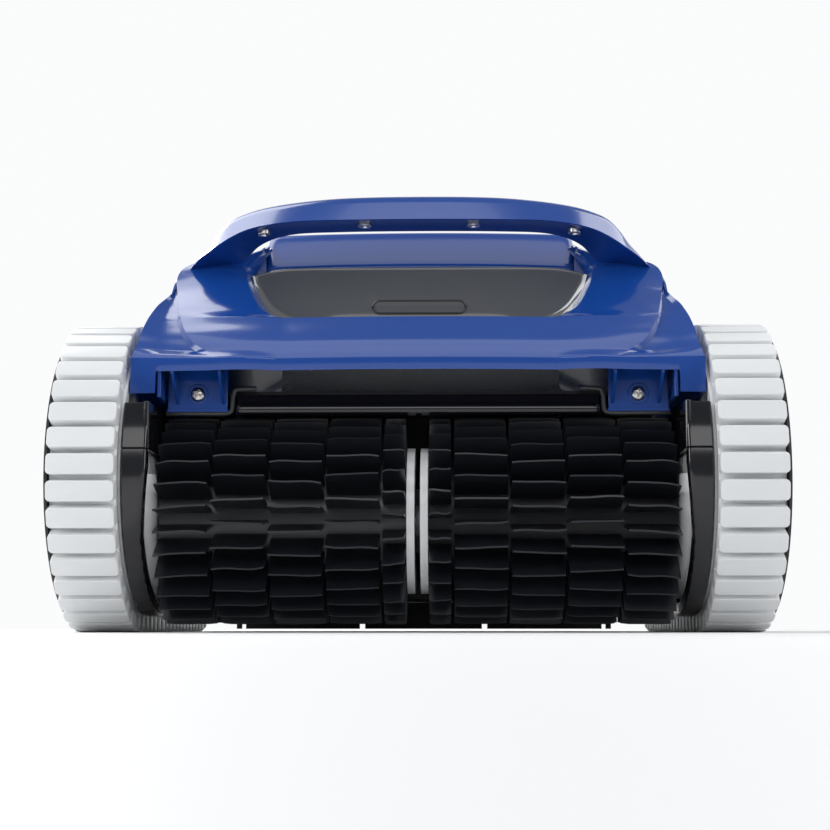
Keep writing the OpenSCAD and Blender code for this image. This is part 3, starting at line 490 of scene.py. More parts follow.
def cut_outlet(cover):
    """Opens the cover over the water outlet."""
    place, radius = outlet_frame()
    parts = Parts()
    rows = lathe([(-30 * MM, radius + 1.2 * MM), (30 * MM, radius + 1.2 * MM)], (0, 0, 0), (0, 0, 1), 96)
    parts.grid(rows, loop_cols=True)
    parts.cap(0, 96, flip=True)
    parts.cap(96, 96)
    cutter_mesh = parts.mesh("outlet_cutter")
    cutter_mesh.transform(place)
    cutter = add_object("outlet_cutter", cutter_mesh)
    mod = cover.modifiers.new("outlet", "BOOLEAN")
    mod.operation = "DIFFERENCE"
    mod.solver = "EXACT"
    mod.object = cutter
    bpy.context.view_layer.update()
    done = bpy.data.meshes.new_from_object(cover.evaluated_get(bpy.context.evaluated_depsgraph_get()))
    cover.modifiers.clear()
    cover.data = done
    bpy.data.objects.remove(cutter)


def build_grille():
    """Round outlet grille set in the rear slope: rolled ring, curved bars, centre disc."""
    place, radius = outlet_frame()
    r = radius / MM
    parts = Parts()
    ring = [(-3, r - 4.6), (2.2, r - 4.6), (3.0, r - 4.0), (3.4, r - 2.4), (3.2, r - 0.8), (2.4, r + 0.4),
            (0.8, r + 0.9), (-3, r + 0.6)]
    rows = lathe([(a * MM, b * MM) for a, b in ring], (0, 0, 0), (0, 0, 1), 96)
    parts.grid(rows, loop_rows=True, loop_cols=True)
    disc = [(-1.5, 0.05), (-1.5, 9.6), (1.6, 10.0), (2.4, 9.4), (2.7, 7.0), (3.0, 0.05)]
    parts.grid(lathe([(a * MM, b * MM) for a, b in disc], (0, 0, 0), (0, 0, 1), 48), loop_cols=True)
    for k in range(-5, 6):
        x = k * 6.4
        reach = math.sqrt(max(0.0, (r - 3.6) ** 2 - x * x))
        for sign in (-1, 1):
            start = math.sqrt(max(0.0, 9.0 ** 2 - x * x)) if abs(x) < 9 else 0.0
            if start == 0.0 and sign < 0:
                continue
            y0, y1 = (start, reach) if start else (-reach, reach)
            along = [y0 + (y1 - y0) * t / 12 for t in range(13)]
            path = [(x, sign * y, 0.4 + 1.6 * (1 - (y / r) ** 2)) for y in along]
            bar_rows = [[((px + a) * MM, py * MM, (pz + b) * MM) for a, b in
                         ((-0.9, -2.2), (-0.9, 0.2), (-0.5, 0.7), (0.5, 0.7), (0.9, 0.2), (0.9, -2.2))]
                        for px, py, pz in path]
            parts.grid(bar_rows, loop_cols=True)
    mesh = parts.mesh("outlet_bars")
    mesh.transform(place)
    finish_object("outlet_bars", mesh, "chassis", "black_plastic", "outlet_grille", sharp=45)


# ---- Handle

# Right half of the handle, middle to foot, in millimetres: lower lip x y z, top edge x y z, rear edge
# x y z, lower rear edge x y z, underside middle x y z
HANDLE_KEYS = [
    [0, -128, 268.0, 0, -108, 289.6, 0, -97, 288.0, 0, -93, 268.5, 0, -110, 270.0],
    [28, -128, 267.9, 28, -108, 289.4, 28, -97, 287.8, 28, -93, 268.4, 28, -110, 269.8],
    [56, -128, 267.6, 56, -108, 288.4, 56, -97, 286.6, 56, -93, 268.0, 56, -110, 269.4],
    [82, -128, 266.8, 82, -108, 285.8, 82, -97, 284.0, 82, -93, 267.0, 82, -110, 268.4],
    [101, -128, 264.4, 103, -108, 282.2, 103, -97, 280.4, 98, -93, 263.6, 99, -110, 265.6],
    [114, -127.4, 261.2, 117, -108.3, 277.8, 117, -97, 276.0, 108, -94, 258.4, 110, -110, 261.0],
    [124, -126.0, 256.8, 126.5, -109, 272.6, 126.5, -97, 271.0, 113.5, -95, 252.6, 118, -110, 255.6],
    [132, -124.0, 252.4, 133.6, -110.5, 264.2, 133.6, -97, 264.0, 117, -96, 247.8, 125, -109.5, 250.6],
    [138.6, -121.4, 248.4, 139.2, -112, 255.2, 139.2, -97, 256.6, 122, -96, 245.0, 131, -108, 247.2],
    [144.6, -117.0, 245.4, 144.8, -112, 248.6, 144.6, -97, 250.4, 129, -95, 244.6, 138, -106, 245.4],
    [149.8, -111.4, 242.2, 150.0, -108.5, 243.8, 149.6, -96, 246.0, 138, -94, 243.0, 145, -104, 242.6],
    [153.6, -104.6, 240.4, 153.6, -103.6, 241.0, 152.6, -95, 241.8, 146, -93.5, 240.0, 150, -99, 240.0],
]


def handle_section(key):
    """Closed section of the handle with rounded edges, from its five guide points."""
    lip, top, rear, low_rear, under = [Vector(key[i:i + 3]) for i in range(0, 15, 3)]
    pts = [lip.lerp(top, t) for t in (0.03, 0.1, 0.3, 0.5, 0.7, 0.88)]
    pts.append(top.lerp(lip, 0.03) + (rear - top) * 0.08)
    pts += [top.lerp(rear, t) for t in (0.3, 0.6, 0.88)]
    pts += [rear.lerp(low_rear, t) for t in (0.08, 0.3, 0.6, 0.9)]
    pts += [low_rear.lerp(under, t) for t in (0.06, 0.3, 0.65)] + [under]
    pts += [under.lerp(lip, t) for t in (0.4, 0.75, 0.93)]
    return [tuple(p * MM) for p in pts]


def build_handle():
    """Handle arch swept from shoulder to shoulder along its guide curves."""
    half = [handle_section(k) for k in spline(HANDLE_KEYS, 67)]
    other = [[(-p[0], p[1], p[2]) for p in row] for row in half[:0:-1]]
    parts = Parts().grid(other + half, loop_cols=True)
    cols = len(half[0])
    parts.cap(0, cols)
    parts.cap(len(parts.verts) - cols, cols, flip=True)
    nodes = ["handle_top", "handle_grip"]
    obj = parts.piece("handle_shell", "chassis", "cover_blue", nodes, sharp=40)
    obj.data.materials.append(GRIP_MATTE_AND_SHADE)
    # Faces turned downwards in the front half take the grip material: matte grip finish plus painted shade of
    # the underside
    for poly in obj.data.polygons:
        if poly.normal.z < -0.5 and poly.center.y < (HANDLE_Y0 + HANDLE_Y1) / 2 + 0.02:
            poly.material_index = 1
    add_modifiers(obj, bevel=0.7 * MM, segments=3, angle=30)


def build_handle_screws():
    """Pan-head screws set in shallow collars under the handle."""
    parts = Parts()
    for x in (36, 103):
        z = 267.2 if x < 60 else 261.9
        y = -116.0 if x < 60 else -116.5
        drop = [(2.0, 4.6), (-0.4, 4.6), (-1.0, 4.2), (-1.2, 2.2), (0.2, 1.5), (0.3, 0.1)]
        parts.grid(lathe([(a * MM, r * MM) for a, r in drop], (x * MM, y * MM, z * MM), (0.0, 0.0, 1.0), 28),
                   loop_cols=True)
    parts.mirror()
    parts.piece("under_screws", "chassis", "steel", "handle_screws", sharp=30)


# ---- Lid and window

# Middle line of the lid: distance behind its front edge, height
LID_LINE = [[0.4, 243.0], [0.2, 245.0], [2.6, 248.8], [8.4, 255.4], [14.2, 262.0], [20.0, 268.4],
            [24.4, 272.6], [28.4, 274.6], [34, 275.9], [44, 277.7], [60, 279.7], [84, 280.2],
            [112, 278.0], [136, 272.5], [152, 267.6], [160.6, 264.6]]
LID_HALF = 103.6
# Front edge of the bucket's floor
WINDOW_FOOT_Y = -0.1545


def build_lid():
    """Blue hump behind the hand recess: steep front face, long crowned top, folded-down sides."""
    parts = Parts()
    y0 = LID_Y0 / MM + 0.2
    rows = []
    for back, z in spline(LID_LINE, 60):
        row = []
        for k in range(49):
            u = k / 24 - 1
            share = abs(u)
            fold = max(0.0, (share - 0.93) / 0.07)
            x = math.copysign(LID_HALF * min(1.0, share / 0.93) + 2.6 * fold ** 0.7, u) * min(1.0, share * 40)
            drop = 2.0 * share ** 2 + 6.5 * fold ** 1.6
            row.append((x * MM, (y0 + back + 1.2 * share ** 4 + 3.0 * fold * max(0.0, 1 - back / 12)) * MM,
                        (z + 1.6 - drop) * MM))
        rows.append(row)
    parts.grid(rows)
    obj = parts.piece("lid_shell", "filter_lid", "cover_blue", "lid", sharp=50)
    add_modifiers(obj, solid=2.4 * MM, bevel=0.8 * MM, segments=3, angle=45)


# Edge where the bucket meets the rim of the recess: x y z, foot to top
BUCKET_SIDE = [[84.0, -148.0, 197.2], [92.5, -139.0, 200.5], [98.5, -131.0, 206.0], [103.6, -121.0, 214.5],
               [107.4, -111.5, 223.0], [110.2, -104.0, 230.6], [112.0, -99.5, 237.0]]


def window_point(u, v):
    """Point of the smoked bucket: u from -1 to 1 across, v from 0 at the foot to 1 at the top edge."""
    x1, y1, z1 = bucket_side[min(len(bucket_side) - 1, round(v * (len(bucket_side) - 1)))]
    centre_z = RIM_Z / MM + 1.8 + (WINDOW_TOP - RIM_Z) / MM * v * 0.975
    centre_y = -119.5 + 30.0 * v
    side = abs(u)
    flat = 1 - side ** 9
    depth = flat ** 0.6
    z = z1 + (centre_z - z1) * (1 - side ** 9)
    return (math.copysign(x1 * side ** 0.96, u) * MM, (y1 + (centre_y - y1) * depth) * MM, z * MM)


bucket_side = spline(BUCKET_SIDE, 25)


def build_window():
    parts = Parts()
    rows = [[window_point(i / 44 - 1, j / 24) for i in range(89)] for j in range(25)]
    top = rows[-1]
    rows.append([(p[0], p[1] + 1.2 * MM, p[2] + 0.4 * MM) for p in top])
    rows.append([(p[0], p[1] + 3.0 * MM, p[2] + 0.2 * MM) for p in top])
    parts.grid(rows)
    foot = rows[0]
    floor_rows = []
    for t in range(7):
        floor_rows.append([(p[0], p[1] + min(0.0, WINDOW_FOOT_Y - p[1]) * t / 6, p[2] - 0.3 * MM * t / 6)
                           for p in foot])
    parts.grid(floor_rows)
    obj = parts.piece("window_bucket", "chassis", "smoked", "front_window", sharp=45, merge=0.05 * MM)
    add_modifiers(obj, solid=1.8 * MM, bevel=0.5 * MM, segments=2, angle=50)


def window_slope(z):
    """Depth of the bucket's flat centre at a height."""
    v = (z - RIM_Z / MM - 1.8) / ((WINDOW_TOP - RIM_Z) / MM * 0.975)
    return -119.5 + 30.0 * v


def pill(half_x, half_z, steps=12):
    """Outline of a long rounded slot as x z pairs."""
    pts = []
    for sign, first in ((1, -90), (-1, 90)):
        for k in range(steps + 1):
            a = math.radians(first + 180 * k / steps)
            pts.append((sign * (half_x - half_z) + half_z * math.cos(a), half_z * math.sin(a)))
    return pts


def build_slot():
    """Raised lip round the pill slot with its hollow, all in a near-black that is painted shade of the
    recess.
    """
    parts = Parts()
    zc = 213.4
    rows = []
    for grow, front in ((0.9, -0.2), (0.7, 0.75), (0.1, 1.0), (-0.5, 0.7), (-0.8, -1.5), (-1.0, -5.0),
                        (-1.4, -6.5)):
        rows.append([(x * MM, (window_slope(zc + z) - front) * MM, (zc + z) * MM)
                     for x, z in pill(30.6 + grow, 4.6 + grow)])
    parts.grid(rows, loop_cols=True)
    count = len(rows[-1])
    parts.cap(len(parts.verts) - count, count)
    parts.piece("slot_lip", "chassis", "smoked", sharp=50, mat=SLOT_PAINTED_SHADE)


# ---- Tabs, screws and beam

SCREW_X = 136.0
SCREW_Z = 146.0
TAB_Y = -173.0


def box_rows(parts, low_corner, high_corner, chamfer=0.4):
    """Closed box with small chamfers round its vertical edges, added as a grid."""
    (x0, y0, z0), (x1, y1, z1) = low_corner, high_corner
    c = chamfer
    outline = [(x0 + c, y0), (x1 - c, y0), (x1, y0 + c), (x1, y1 - c), (x1 - c, y1), (x0 + c, y1),
               (x0, y1 - c), (x0, y0 + c)]
    start = len(parts.verts)
    parts.grid([[(x * MM, y * MM, z * MM) for x, y in outline] for z in (z0, z1)], loop_cols=True)
    parts.cap(start, 8, flip=True)
    parts.cap(start + 8, 8)


def wedge(parts, x0, x1, outline):
    """Flat rib of a side outline given as y z pairs, from x0 to x1."""
    start = len(parts.verts)
    n = len(outline)
    parts.grid([[(x * MM, y * MM, z * MM) for y, z in outline] for x in (x0, x1)], loop_cols=True)
    parts.cap(start, n)
    parts.cap(start + n, n, flip=True)


def build_tabs():
    """Corner tabs under the lip: screw plate, its two ribs, and the inner wall of the corner post."""
    parts = Parts()
    box_rows(parts, (117.6, TAB_Y, 136.4), (154.6, TAB_Y + 2.6, 163.5))
    for x in (119.0, 147.6):
        wedge(parts, x, x + 1.9, [(TAB_Y + 0.6, 139.5), (TAB_Y - 7, 143.5), (TAB_Y - 15, 150.0),
                                  (TAB_Y - 22, 156.0), (TAB_Y - 22, 162.0), (TAB_Y + 0.6, 170.0)])
    box_rows(parts, (155.6, -192.6, 141.6), (158.0, -168.0, 164.0))
    box_rows(parts, (117.0, TAB_Y - 1.0, 135.0), (155.0, TAB_Y + 4.0, 136.8))
    rows = lathe([(a * MM, r * MM) for a, r in [(-0.2, 6.6), (0.7, 6.4), (0.9, 5.9), (0.7, 5.5), (0.0, 5.3)]],
                 (SCREW_X * MM, TAB_Y * MM, SCREW_Z * MM), (0, -1, 0), 40)
    parts.grid(rows, loop_cols=True)
    parts.mirror()
    obj = parts.piece("corner_tabs", "chassis", "cover_blue", sharp=35)
    add_modifiers(obj, bevel=0.35 * MM, segments=2, angle=35)


def cross_depth(x, z, reach, arm):
    """1 inside the cross of a Phillips recess, falling to 0 at its sides."""
    a, b = abs(x), abs(z)
    near, far = min(a, b), max(a, b)
    if far > reach:
        return 0.0
    return max(0.0, min(1.0, (arm - near) / 0.35)) * min(1.0, (reach - far) / 0.6 + 0.15)


def build_tab_screws():
    """Pan-head Phillips screws in the two corner tabs."""
    parts = Parts()
    head = 4.4
    for side in (-1, 1):
        turn = 0.5 if side < 0 else 0.15
        rows = []
        for ring in range(30):
            r = head * ring / 29
            row = []
            for k in range(96):
                a = 2 * math.pi * k / 96
                x, z = r * math.cos(a), r * math.sin(a)
                tx, tz = x * math.cos(turn) - z * math.sin(turn), x * math.sin(turn) + z * math.cos(turn)
                dome = 2.3 * math.sqrt(max(0.0, 1 - (r / (head * 1.03)) ** 2))
                deep = 2.0 * cross_depth(tx, tz, 2.7, 0.62)
                row.append(((side * SCREW_X + x) * MM, (TAB_Y - 0.4 - dome + deep) * MM, (SCREW_Z + z) * MM))
            rows.append(row)
        rows.append([(p[0], (TAB_Y + 1.0) * MM, p[2]) for p in rows[-1]])
        parts.grid(rows, loop_cols=True)
    parts.piece("tab_screws", "chassis", "steel", "cover_screws", sharp=45, merge=0.004 * MM)


def build_beam():
    """Glossy beam over the brush: rolled front edge, shallow step, rounded ends."""
    parts = Parts()
    _, y0, z0 = [v / MM for v in low("front_beam")]
    half, y1, z1 = [v / MM for v in high("front_beam")]
    outline = [(y0 + 1.2, z0 + 0.1), (y0 + 0.2, z0 + 1.2), (y0, z0 + 3.2), (y0 + 0.3, z0 + 5.0),
               (y0 + 1.6, z0 + 6.2), (y0 + 3.2, z0 + 6.8), (y0 + 3.9, z0 + 7.6),
               (y0 + 4.2, z1 - 1.6), (y0 + 5.2, z1 - 0.4), (y0 + 7.0, z1), (y1, z1), (y1, z0)]
    rows = []
    for i in range(41):
        t = i / 40
        x = half * math.sin(math.pi * (t - 0.5))
        end = max(0.0, (abs(x) - half + 4.0) / 4.0)
        rows.append([(x * MM, (y + (y1 - y) * 0.35 * end ** 2) * MM,
                      (z + ((z0 + z1) / 2 - z) * 0.12 * end ** 2) * MM) for y, z in outline])
    parts.grid(rows, loop_cols=True)
    n = len(outline)
    parts.cap(0, n, flip=True)
    parts.cap(len(parts.verts) - n, n)
    obj = parts.piece("beam_rolled", "chassis", "black_gloss", "front_beam", sharp=50)
    add_modifiers(obj, bevel=0.4 * MM, segments=2, angle=50)


def tube(parts, path, radius, sides=14):
    """Round bar along a path of points in millimetres."""
    rows = []
    for i, p in enumerate(path):
        a, b = Vector(path[max(0, i - 1)]), Vector(path[min(len(path) - 1, i + 1)])
        ahead = (b - a).normalized()
        side = Vector((0, 1, 0))
        third = ahead.cross(side).normalized()
        rows.append([tuple((Vector(p) + radius * (math.cos(2 * math.pi * k / sides) * side
                                                  + math.sin(2 * math.pi * k / sides) * third)) * MM)
                     for k in range(sides)])
    parts.grid(rows, loop_cols=True)


def build_chassis_rim():
    """Rolled edge of the chassis under each tab and up to the beam's pocket."""
    parts = Parts()
    path = [[156, -170, 134.6], [150, -171, 134.4], [135, -171.5, 134.2], [120, -171.5, 134.2],
            [115.6, -171.5, 135.4], [114.6, -171.5, 138.5], [114.5, -171.5, 144],
            [113.4, -171.5, 148.2], [110.5, -171.5, 149.4], [100, -171.5, 149.8]]
    tube(parts, spline(path, 60), 1.6)
    parts.mirror()
    dark = SLOT_MATERIALS["dark_plastic"]
    parts.piece("chassis_rim", "chassis", "black_plastic", sharp=60, mat=dark)


# ---- Tracks

LUGS_PER_END = 19
LUGS_PER_RUN = 17
BASE_R = TRACK_R - 9 * MM
INNER_R = BASE_R - 5 * MM
# The soft rubber sits a little further out than its nominal place
TRACK_INSET = 2.8 * MM
TRACK_SWELL = 4.4 * MM


def track_path():
    """Lug places round a track: point on the base and outward direction in Y and Z, pitch, height."""
    places = []
    run = REAR_Y - WHEEL_Y
    arc = math.pi / LUGS_PER_END
    for i in range(LUGS_PER_END):
        for centre, first in ((WHEEL_Y, math.pi / 2), (REAR_Y, -math.pi / 2)):
            a = first + (i + 0.5) * arc
            direction = (math.cos(a), math.sin(a))
            places.append(((centre + BASE_R * direction[0], AXLE_Z + BASE_R * direction[1]), direction,
                           BASE_R * arc, 8.8 * MM))
    for i in range(LUGS_PER_RUN):
        y = WHEEL_Y + (i + 0.5) * run / LUGS_PER_RUN
        places.append(((y, AXLE_Z + BASE_R), (0, 1), run / LUGS_PER_RUN, 9 * MM))
        places.append(((y, AXLE_Z - BASE_R), (0, -1), run / LUGS_PER_RUN, 9 * MM))
    return places


def belt_ring(r, x):
    """Closed stadium outline of radius r at station x."""
    pts = []
    for centre, first in ((WHEEL_Y, math.pi / 2), (REAR_Y, -math.pi / 2)):
        for k in range(49):
            a = first + math.pi * k / 48
            pts.append((x, centre + r * math.cos(a), AXLE_Z + r * math.sin(a)))
    return pts


def lug_outline(width, length, radius, steps=5):
    """Rounded rectangle, width along the track and length across it."""
    pts = []
    for cx, cy, first in ((1, 1, 0), (-1, 1, 90), (-1, -1, 180), (1, -1, 270)):
        for k in range(steps):
            a = math.radians(first + 90 * k / (steps - 1))
            pts.append((cx * (width / 2 - radius) + radius * math.cos(a),
                        cy * (length / 2 - radius) + radius * math.sin(a)))
    return pts


def build_track(side):
    name = "left" if side < 0 else "right"
    parts = Parts()
    x0, x1 = TRACK_X0 + TRACK_INSET + 0.3 * MM, TRACK_X1 + TRACK_SWELL - 0.3 * MM
    ring = [belt_ring(INNER_R, x0), belt_ring(BASE_R - 0.6 * MM, x0), belt_ring(BASE_R, x0 + 0.6 * MM),
            belt_ring(BASE_R, x1 - 0.6 * MM), belt_ring(BASE_R - 0.6 * MM, x1), belt_ring(INNER_R, x1)]
    parts.grid(ring, loop_rows=True, loop_cols=True)
    xm, length = (x0 + x1) / 2, x1 - x0 + 0.6 * MM
    levels = [(-0.6, 0.0), (0.5, 0.0), (0.94, 0.0), (0.975, 0.12), (0.994, 0.4), (1.0, 0.75)]
    for (py, pz), (dy, dz), pitch, height in track_path():
        width = pitch * 0.83
        ty, tz = -dz, dy
        rows = []
        for h, inset in levels:
            grow = 0.25 * MM * (1 - max(h, 0)) - inset * MM
            up = height * h if h > 0 else -0.8 * MM
            rows.append([(xm + b, py + dy * up + ty * a, pz + dz * up + tz * a)
                         for a, b in lug_outline(width + 2 * grow, length + 2 * min(grow, 0), 2.6 * MM)])
        start = len(parts.verts)
        parts.grid(rows, loop_cols=True)
        around = len(rows[0])
        parts.cap(start + (len(rows) - 1) * around, around)
        parts.cap(start, around, flip=True)
    parts.hand(side)
    parts.piece("track_rubber_" + name, "chassis", "track_white", "track_" + name, sharp=48,
                merge=0.01 * MM)


def circle_loop(curve, x, y, r):
    """Adds a round loop to a flat curve."""
    loop = curve.splines.new("BEZIER")
    loop.bezier_points.add(3)
    k = 0.5523 * r
    for point, (a, ha, hb) in zip(loop.bezier_points, (
            ((r, 0), (r, -k), (r, k)), ((0, r), (k, r), (-k, r)),
            ((-r, 0), (-r, k), (-r, -k)), ((0, -r), (-k, -r), (k, -r)))):
        point.co = (x + a[0], y + a[1], 0)
        point.handle_left = (x + ha[0], y + ha[1], 0)
        point.handle_right = (x + hb[0], y + hb[1], 0)
    loop.use_cyclic_u = True
    loop.resolution_u = 24


CAP_HOLES = 6


def build_cap(side, end):
    """Thin black cover disc of a wheel with six round holes and a domed hub."""
    hand = "left" if side < 0 else "right"
    node = ("wheel_caps_" if end == "front" else "rear_caps_") + hand
    y = WHEEL_Y if end == "front" else REAR_Y
    radius = (high(node).z - low(node).z) / 2
    curve = bpy.data.curves.new("disc", "CURVE")
    curve.dimensions = "2D"
    curve.fill_mode = "BOTH"
    curve.extrude = 0.6 * MM
    curve.bevel_depth = 0.35 * MM
    curve.bevel_resolution = 2
    circle_loop(curve, 0, 0, radius - 0.35 * MM)
    for k in range(CAP_HOLES):
        a = 2 * math.pi * k / CAP_HOLES
        circle_loop(curve, 58 * MM * math.cos(a), 58 * MM * math.sin(a), 11.3 * MM)
    draft = add_object("disc", curve)
    bpy.context.view_layer.update()
    mesh = bpy.data.meshes.new_from_object(draft.evaluated_get(bpy.context.evaluated_depsgraph_get()))
    bpy.data.objects.remove(draft)
    bpy.data.curves.remove(curve)
    outer = high(node).x if side > 0 else -low(node).x
    place = Matrix.Translation((side * outer + side * TRACK_SWELL - side * 1.0 * MM, y, AXLE_Z))
    mesh.transform(place @ Matrix.Rotation(math.radians(90), 4, "Y"))
    mesh.materials.clear()
    hub = Parts()
    face = (TRACK_X1 + TRACK_SWELL) + 0.4 * MM
    rows = lathe([(-6 * MM, 22 * MM), (1.6 * MM, 22 * MM), (2.6 * MM, 20 * MM), (3.2 * MM, 12 * MM),
                  (3.3 * MM, 0.5 * MM)], (side * face, y, AXLE_Z), (side, 0, 0), 48)
    hub.grid(rows, loop_cols=True)
    bm = bmesh.new()
    bm.from_mesh(mesh)
    bm.from_mesh(hub.mesh("hub"))
    bm.to_mesh(mesh)
    bm.free()
    body = end + "_wheel_" + hand
    finish_object("cap_" + end + "_" + hand, mesh, body, "black_plastic", node)


# ---- Brush

FINS = 28
NARROW = 13.9 * MM
COLUMN_GAP = 1.5 * MM
WIDE_COLUMNS = 4
SLEEVE_R = 40 * MM


def fin_columns():
    """Start, length and turn of each column of fins, from the middle outwards."""
    wide = (BRUSH_X1 - BRUSH_X0 - NARROW - WIDE_COLUMNS * COLUMN_GAP) / WIDE_COLUMNS
    columns = [(BRUSH_X0, NARROW, 0.0)]
    x = BRUSH_X0 + NARROW + COLUMN_GAP
    for i in range(WIDE_COLUMNS):
        columns.append((x, wide, (i % 2 + 1) * 4.0))
        x += wide + COLUMN_GAP
    return columns


PLATE_R = 88
PLATE_IN_R = 79
PLATE_X0 = 163.2
PLATE_X1 = 175.2
SPLIT_Z = 107.9


def arc_band(first, last, steps, profile, lean=0.0, fade=30.0):
    """Rows round the front axle from one angle to another, of x and radius pairs.

    The inner edge leans towards the brush above the axle and runs out to its own place below it.
    """
    rows = []
    middle_x = (profile[0][0] + max(x for x, r in profile)) / 2
    for k in range(steps + 1):
        turn = first + (last - first) * k / steps
        a = math.radians(turn)
        share = min(1.0, max(0.0, 1 - (turn - 180) / fade))
        rows.append([((x - (lean * share if x < middle_x else 0.0)) * MM, WHEEL_Y + r * MM * math.cos(a),
                      AXLE_Z + r * MM * math.sin(a)) for x, r in profile])
    return rows


def build_side_ring(side):
    """Glossy black ring round the brush end: lower half ring, and the upper piece above the split."""
    name = "left" if side < 0 else "right"
    band = [(PLATE_X0, PLATE_IN_R + 1.6), (PLATE_X0 + 0.5, PLATE_R - 1.2), (PLATE_X0 + 1.6, PLATE_R - 0.2),
            (PLATE_X0 + 3.0, PLATE_R), (PLATE_X1 - 1.0, PLATE_R), (PLATE_X1, PLATE_R - 1.0),
            (PLATE_X1, PLATE_IN_R + 5), (PLATE_X1 - 1.0, PLATE_IN_R + 1.0), (PLATE_X0 + 1.2, PLATE_IN_R)]
    rise = math.degrees(math.asin((SPLIT_Z - AXLE_Z / MM) / PLATE_R))
    top = math.degrees(math.asin((136.8 - AXLE_Z / MM) / PLATE_R))
    for piece, node, spans in (("ring", "side_ring_", [(180 - rise, 360 + rise)]),
                               ("cheek", "side_plate_", [(180 - top, 179.6 - rise), (rise + 0.4, top)])):
        parts = Parts()
        for first, last in spans:
            start = len(parts.verts)
            parts.grid(arc_band(first, last, 90 if piece == "ring" else 16, band, lean=3.8), loop_cols=True)
            n = len(band)
            parts.cap(start, n)
            parts.cap(len(parts.verts) - n, n, flip=True)
        if piece == "cheek":
            box_rows(parts, (PLATE_X0 - 4.2, -211.0, 108.1), (PLATE_X0 - 0.4, -43.0, 136.8), 1.2)
        parts.hand(side)
        title = "side_" + piece + "_" + name
        obj = parts.piece(title, "chassis", "black_gloss", node + name, sharp=40)
        add_modifiers(obj, bevel=0.5 * MM, segments=2, angle=40)


def build_hub_rim(side):
    """White domed rim of the hub plate that shows between the ring and the brush."""
    name = "left" if side < 0 else "right"
    parts = Parts()
    profile = [(169.0, 60), (158.0, 60), (158.0, 63), (158.6, 67), (160.4, 72), (163.6, 76.2), (165.5, 77.4),
               (169.0, 77.4)]
    parts.grid(arc_band(183, 360, 100, profile), loop_cols=True)
    n = len(profile)
    parts.cap(0, n)
    parts.cap(len(parts.verts) - n, n, flip=True)
    parts.hand(side)
    parts.piece("hub_rim_" + name, "chassis", "white_plastic", sharp=40)


def build_fins(side):
    """Rubber sleeve with thin fins, each slightly bent and wavy as soft rubber is."""
    name = "left" if side < 0 else "right"
    draw = random.Random(11 if side < 0 else 23)
    parts = Parts()
    inner, outer = SLEEVE_R - 2 * MM, SLEEVE_R - 0.4 * MM
    sleeve = [(BRUSH_X0, inner), (BRUSH_X0, outer), (BRUSH_X1, outer), (BRUSH_X1, inner)]
    parts.grid(lathe(sleeve, (0, BRUSH_Y, BRUSH_Z), (1, 0, 0), 112))
    reach = BRUSH_R - SLEEVE_R
    across, along = 6, 4
    for column, (x0, length, shift) in enumerate(fin_columns()):
        for i in range(FINS):
            turn = math.radians(i * 360 / FINS + shift)
            lean = draw.uniform(-0.5, 1.6) * MM
            curl = draw.uniform(-0.8, 0.8) * MM
            wave = draw.uniform(-0.5, 0.5) * MM
            layers = []
            for face in (-1, 1):
                for k in range(along + 1):
                    t = k / along
                    r = SLEEVE_R - 0.6 * MM + (reach + 0.4 * MM) * t
                    half = (0.95 - 0.4 * t) * MM
                    row = []
                    for j in range(across + 1):
                        s = j / across
                        flare = curl * (2 * s - 1) ** 3 * t + wave * math.sin(2 * math.pi * s) * t
                        if column == WIDE_COLUMNS:
                            flare += 1.8 * MM * t * max(0.0, s - 0.55) ** 2 * 4
                        off = lean * t * t + flare + face * half
                        trim = 0.5 * MM * t * t
                        x = x0 + trim + (length - 2 * trim) * s
                        rr = r - (0.5 * MM * t if j in (0, across) else 0)
                        row.append((x * side, BRUSH_Y + rr * math.cos(turn) - off * math.sin(turn),
                                    BRUSH_Z + rr * math.sin(turn) + off * math.cos(turn)))
                    layers.append(row)
            back, front = layers[:along + 1], layers[along + 1:]
            loop = back + front[::-1]
            start = len(parts.verts)
            parts.grid(loop, loop_rows=True)
            cols = across + 1
            for edge in (0, across):
                for k in range(along):
                    lo, hi = k * cols + edge, (k + 1) * cols + edge
                    lo2, hi2 = (len(loop) - 1 - k) * cols + edge, (len(loop) - 2 - k) * cols + edge
                    parts.faces.append((start + lo, start + hi, start + hi2, start + lo2))
    body = "brush_half_" + name
    parts.piece("fins_" + name, body, "black_rubber", "brush_fins_" + name, sharp=40, merge=0.005 * MM)


# ---- Stage, light and camera


def build_stage():
    mesh = bpy.data.meshes.new("floor")
    mesh.from_pydata([(-1.3, -1.5, 0), (1.3, -1.5, 0), (1.3, 1.1, 0), (-1.3, 1.1, 0)], [], [(0, 1, 2, 3)])
    floor = add_object("floor", mesh)
    mesh.materials.append(new_material("floor_white", (0.86, 0.86, 0.86), 0.6, specular=0.2))


def area_light(name, place, target, size, power):
    data = bpy.data.lights.new(name, "AREA")
    data.shape = "RECTANGLE"
    data.size, data.size_y = size
    data.energy = power
    obj = add_object(name, data)
    obj.location = place
    obj.rotation_euler = (Vector(target) - Vector(place)).to_track_quat("-Z", "Y").to_euler()


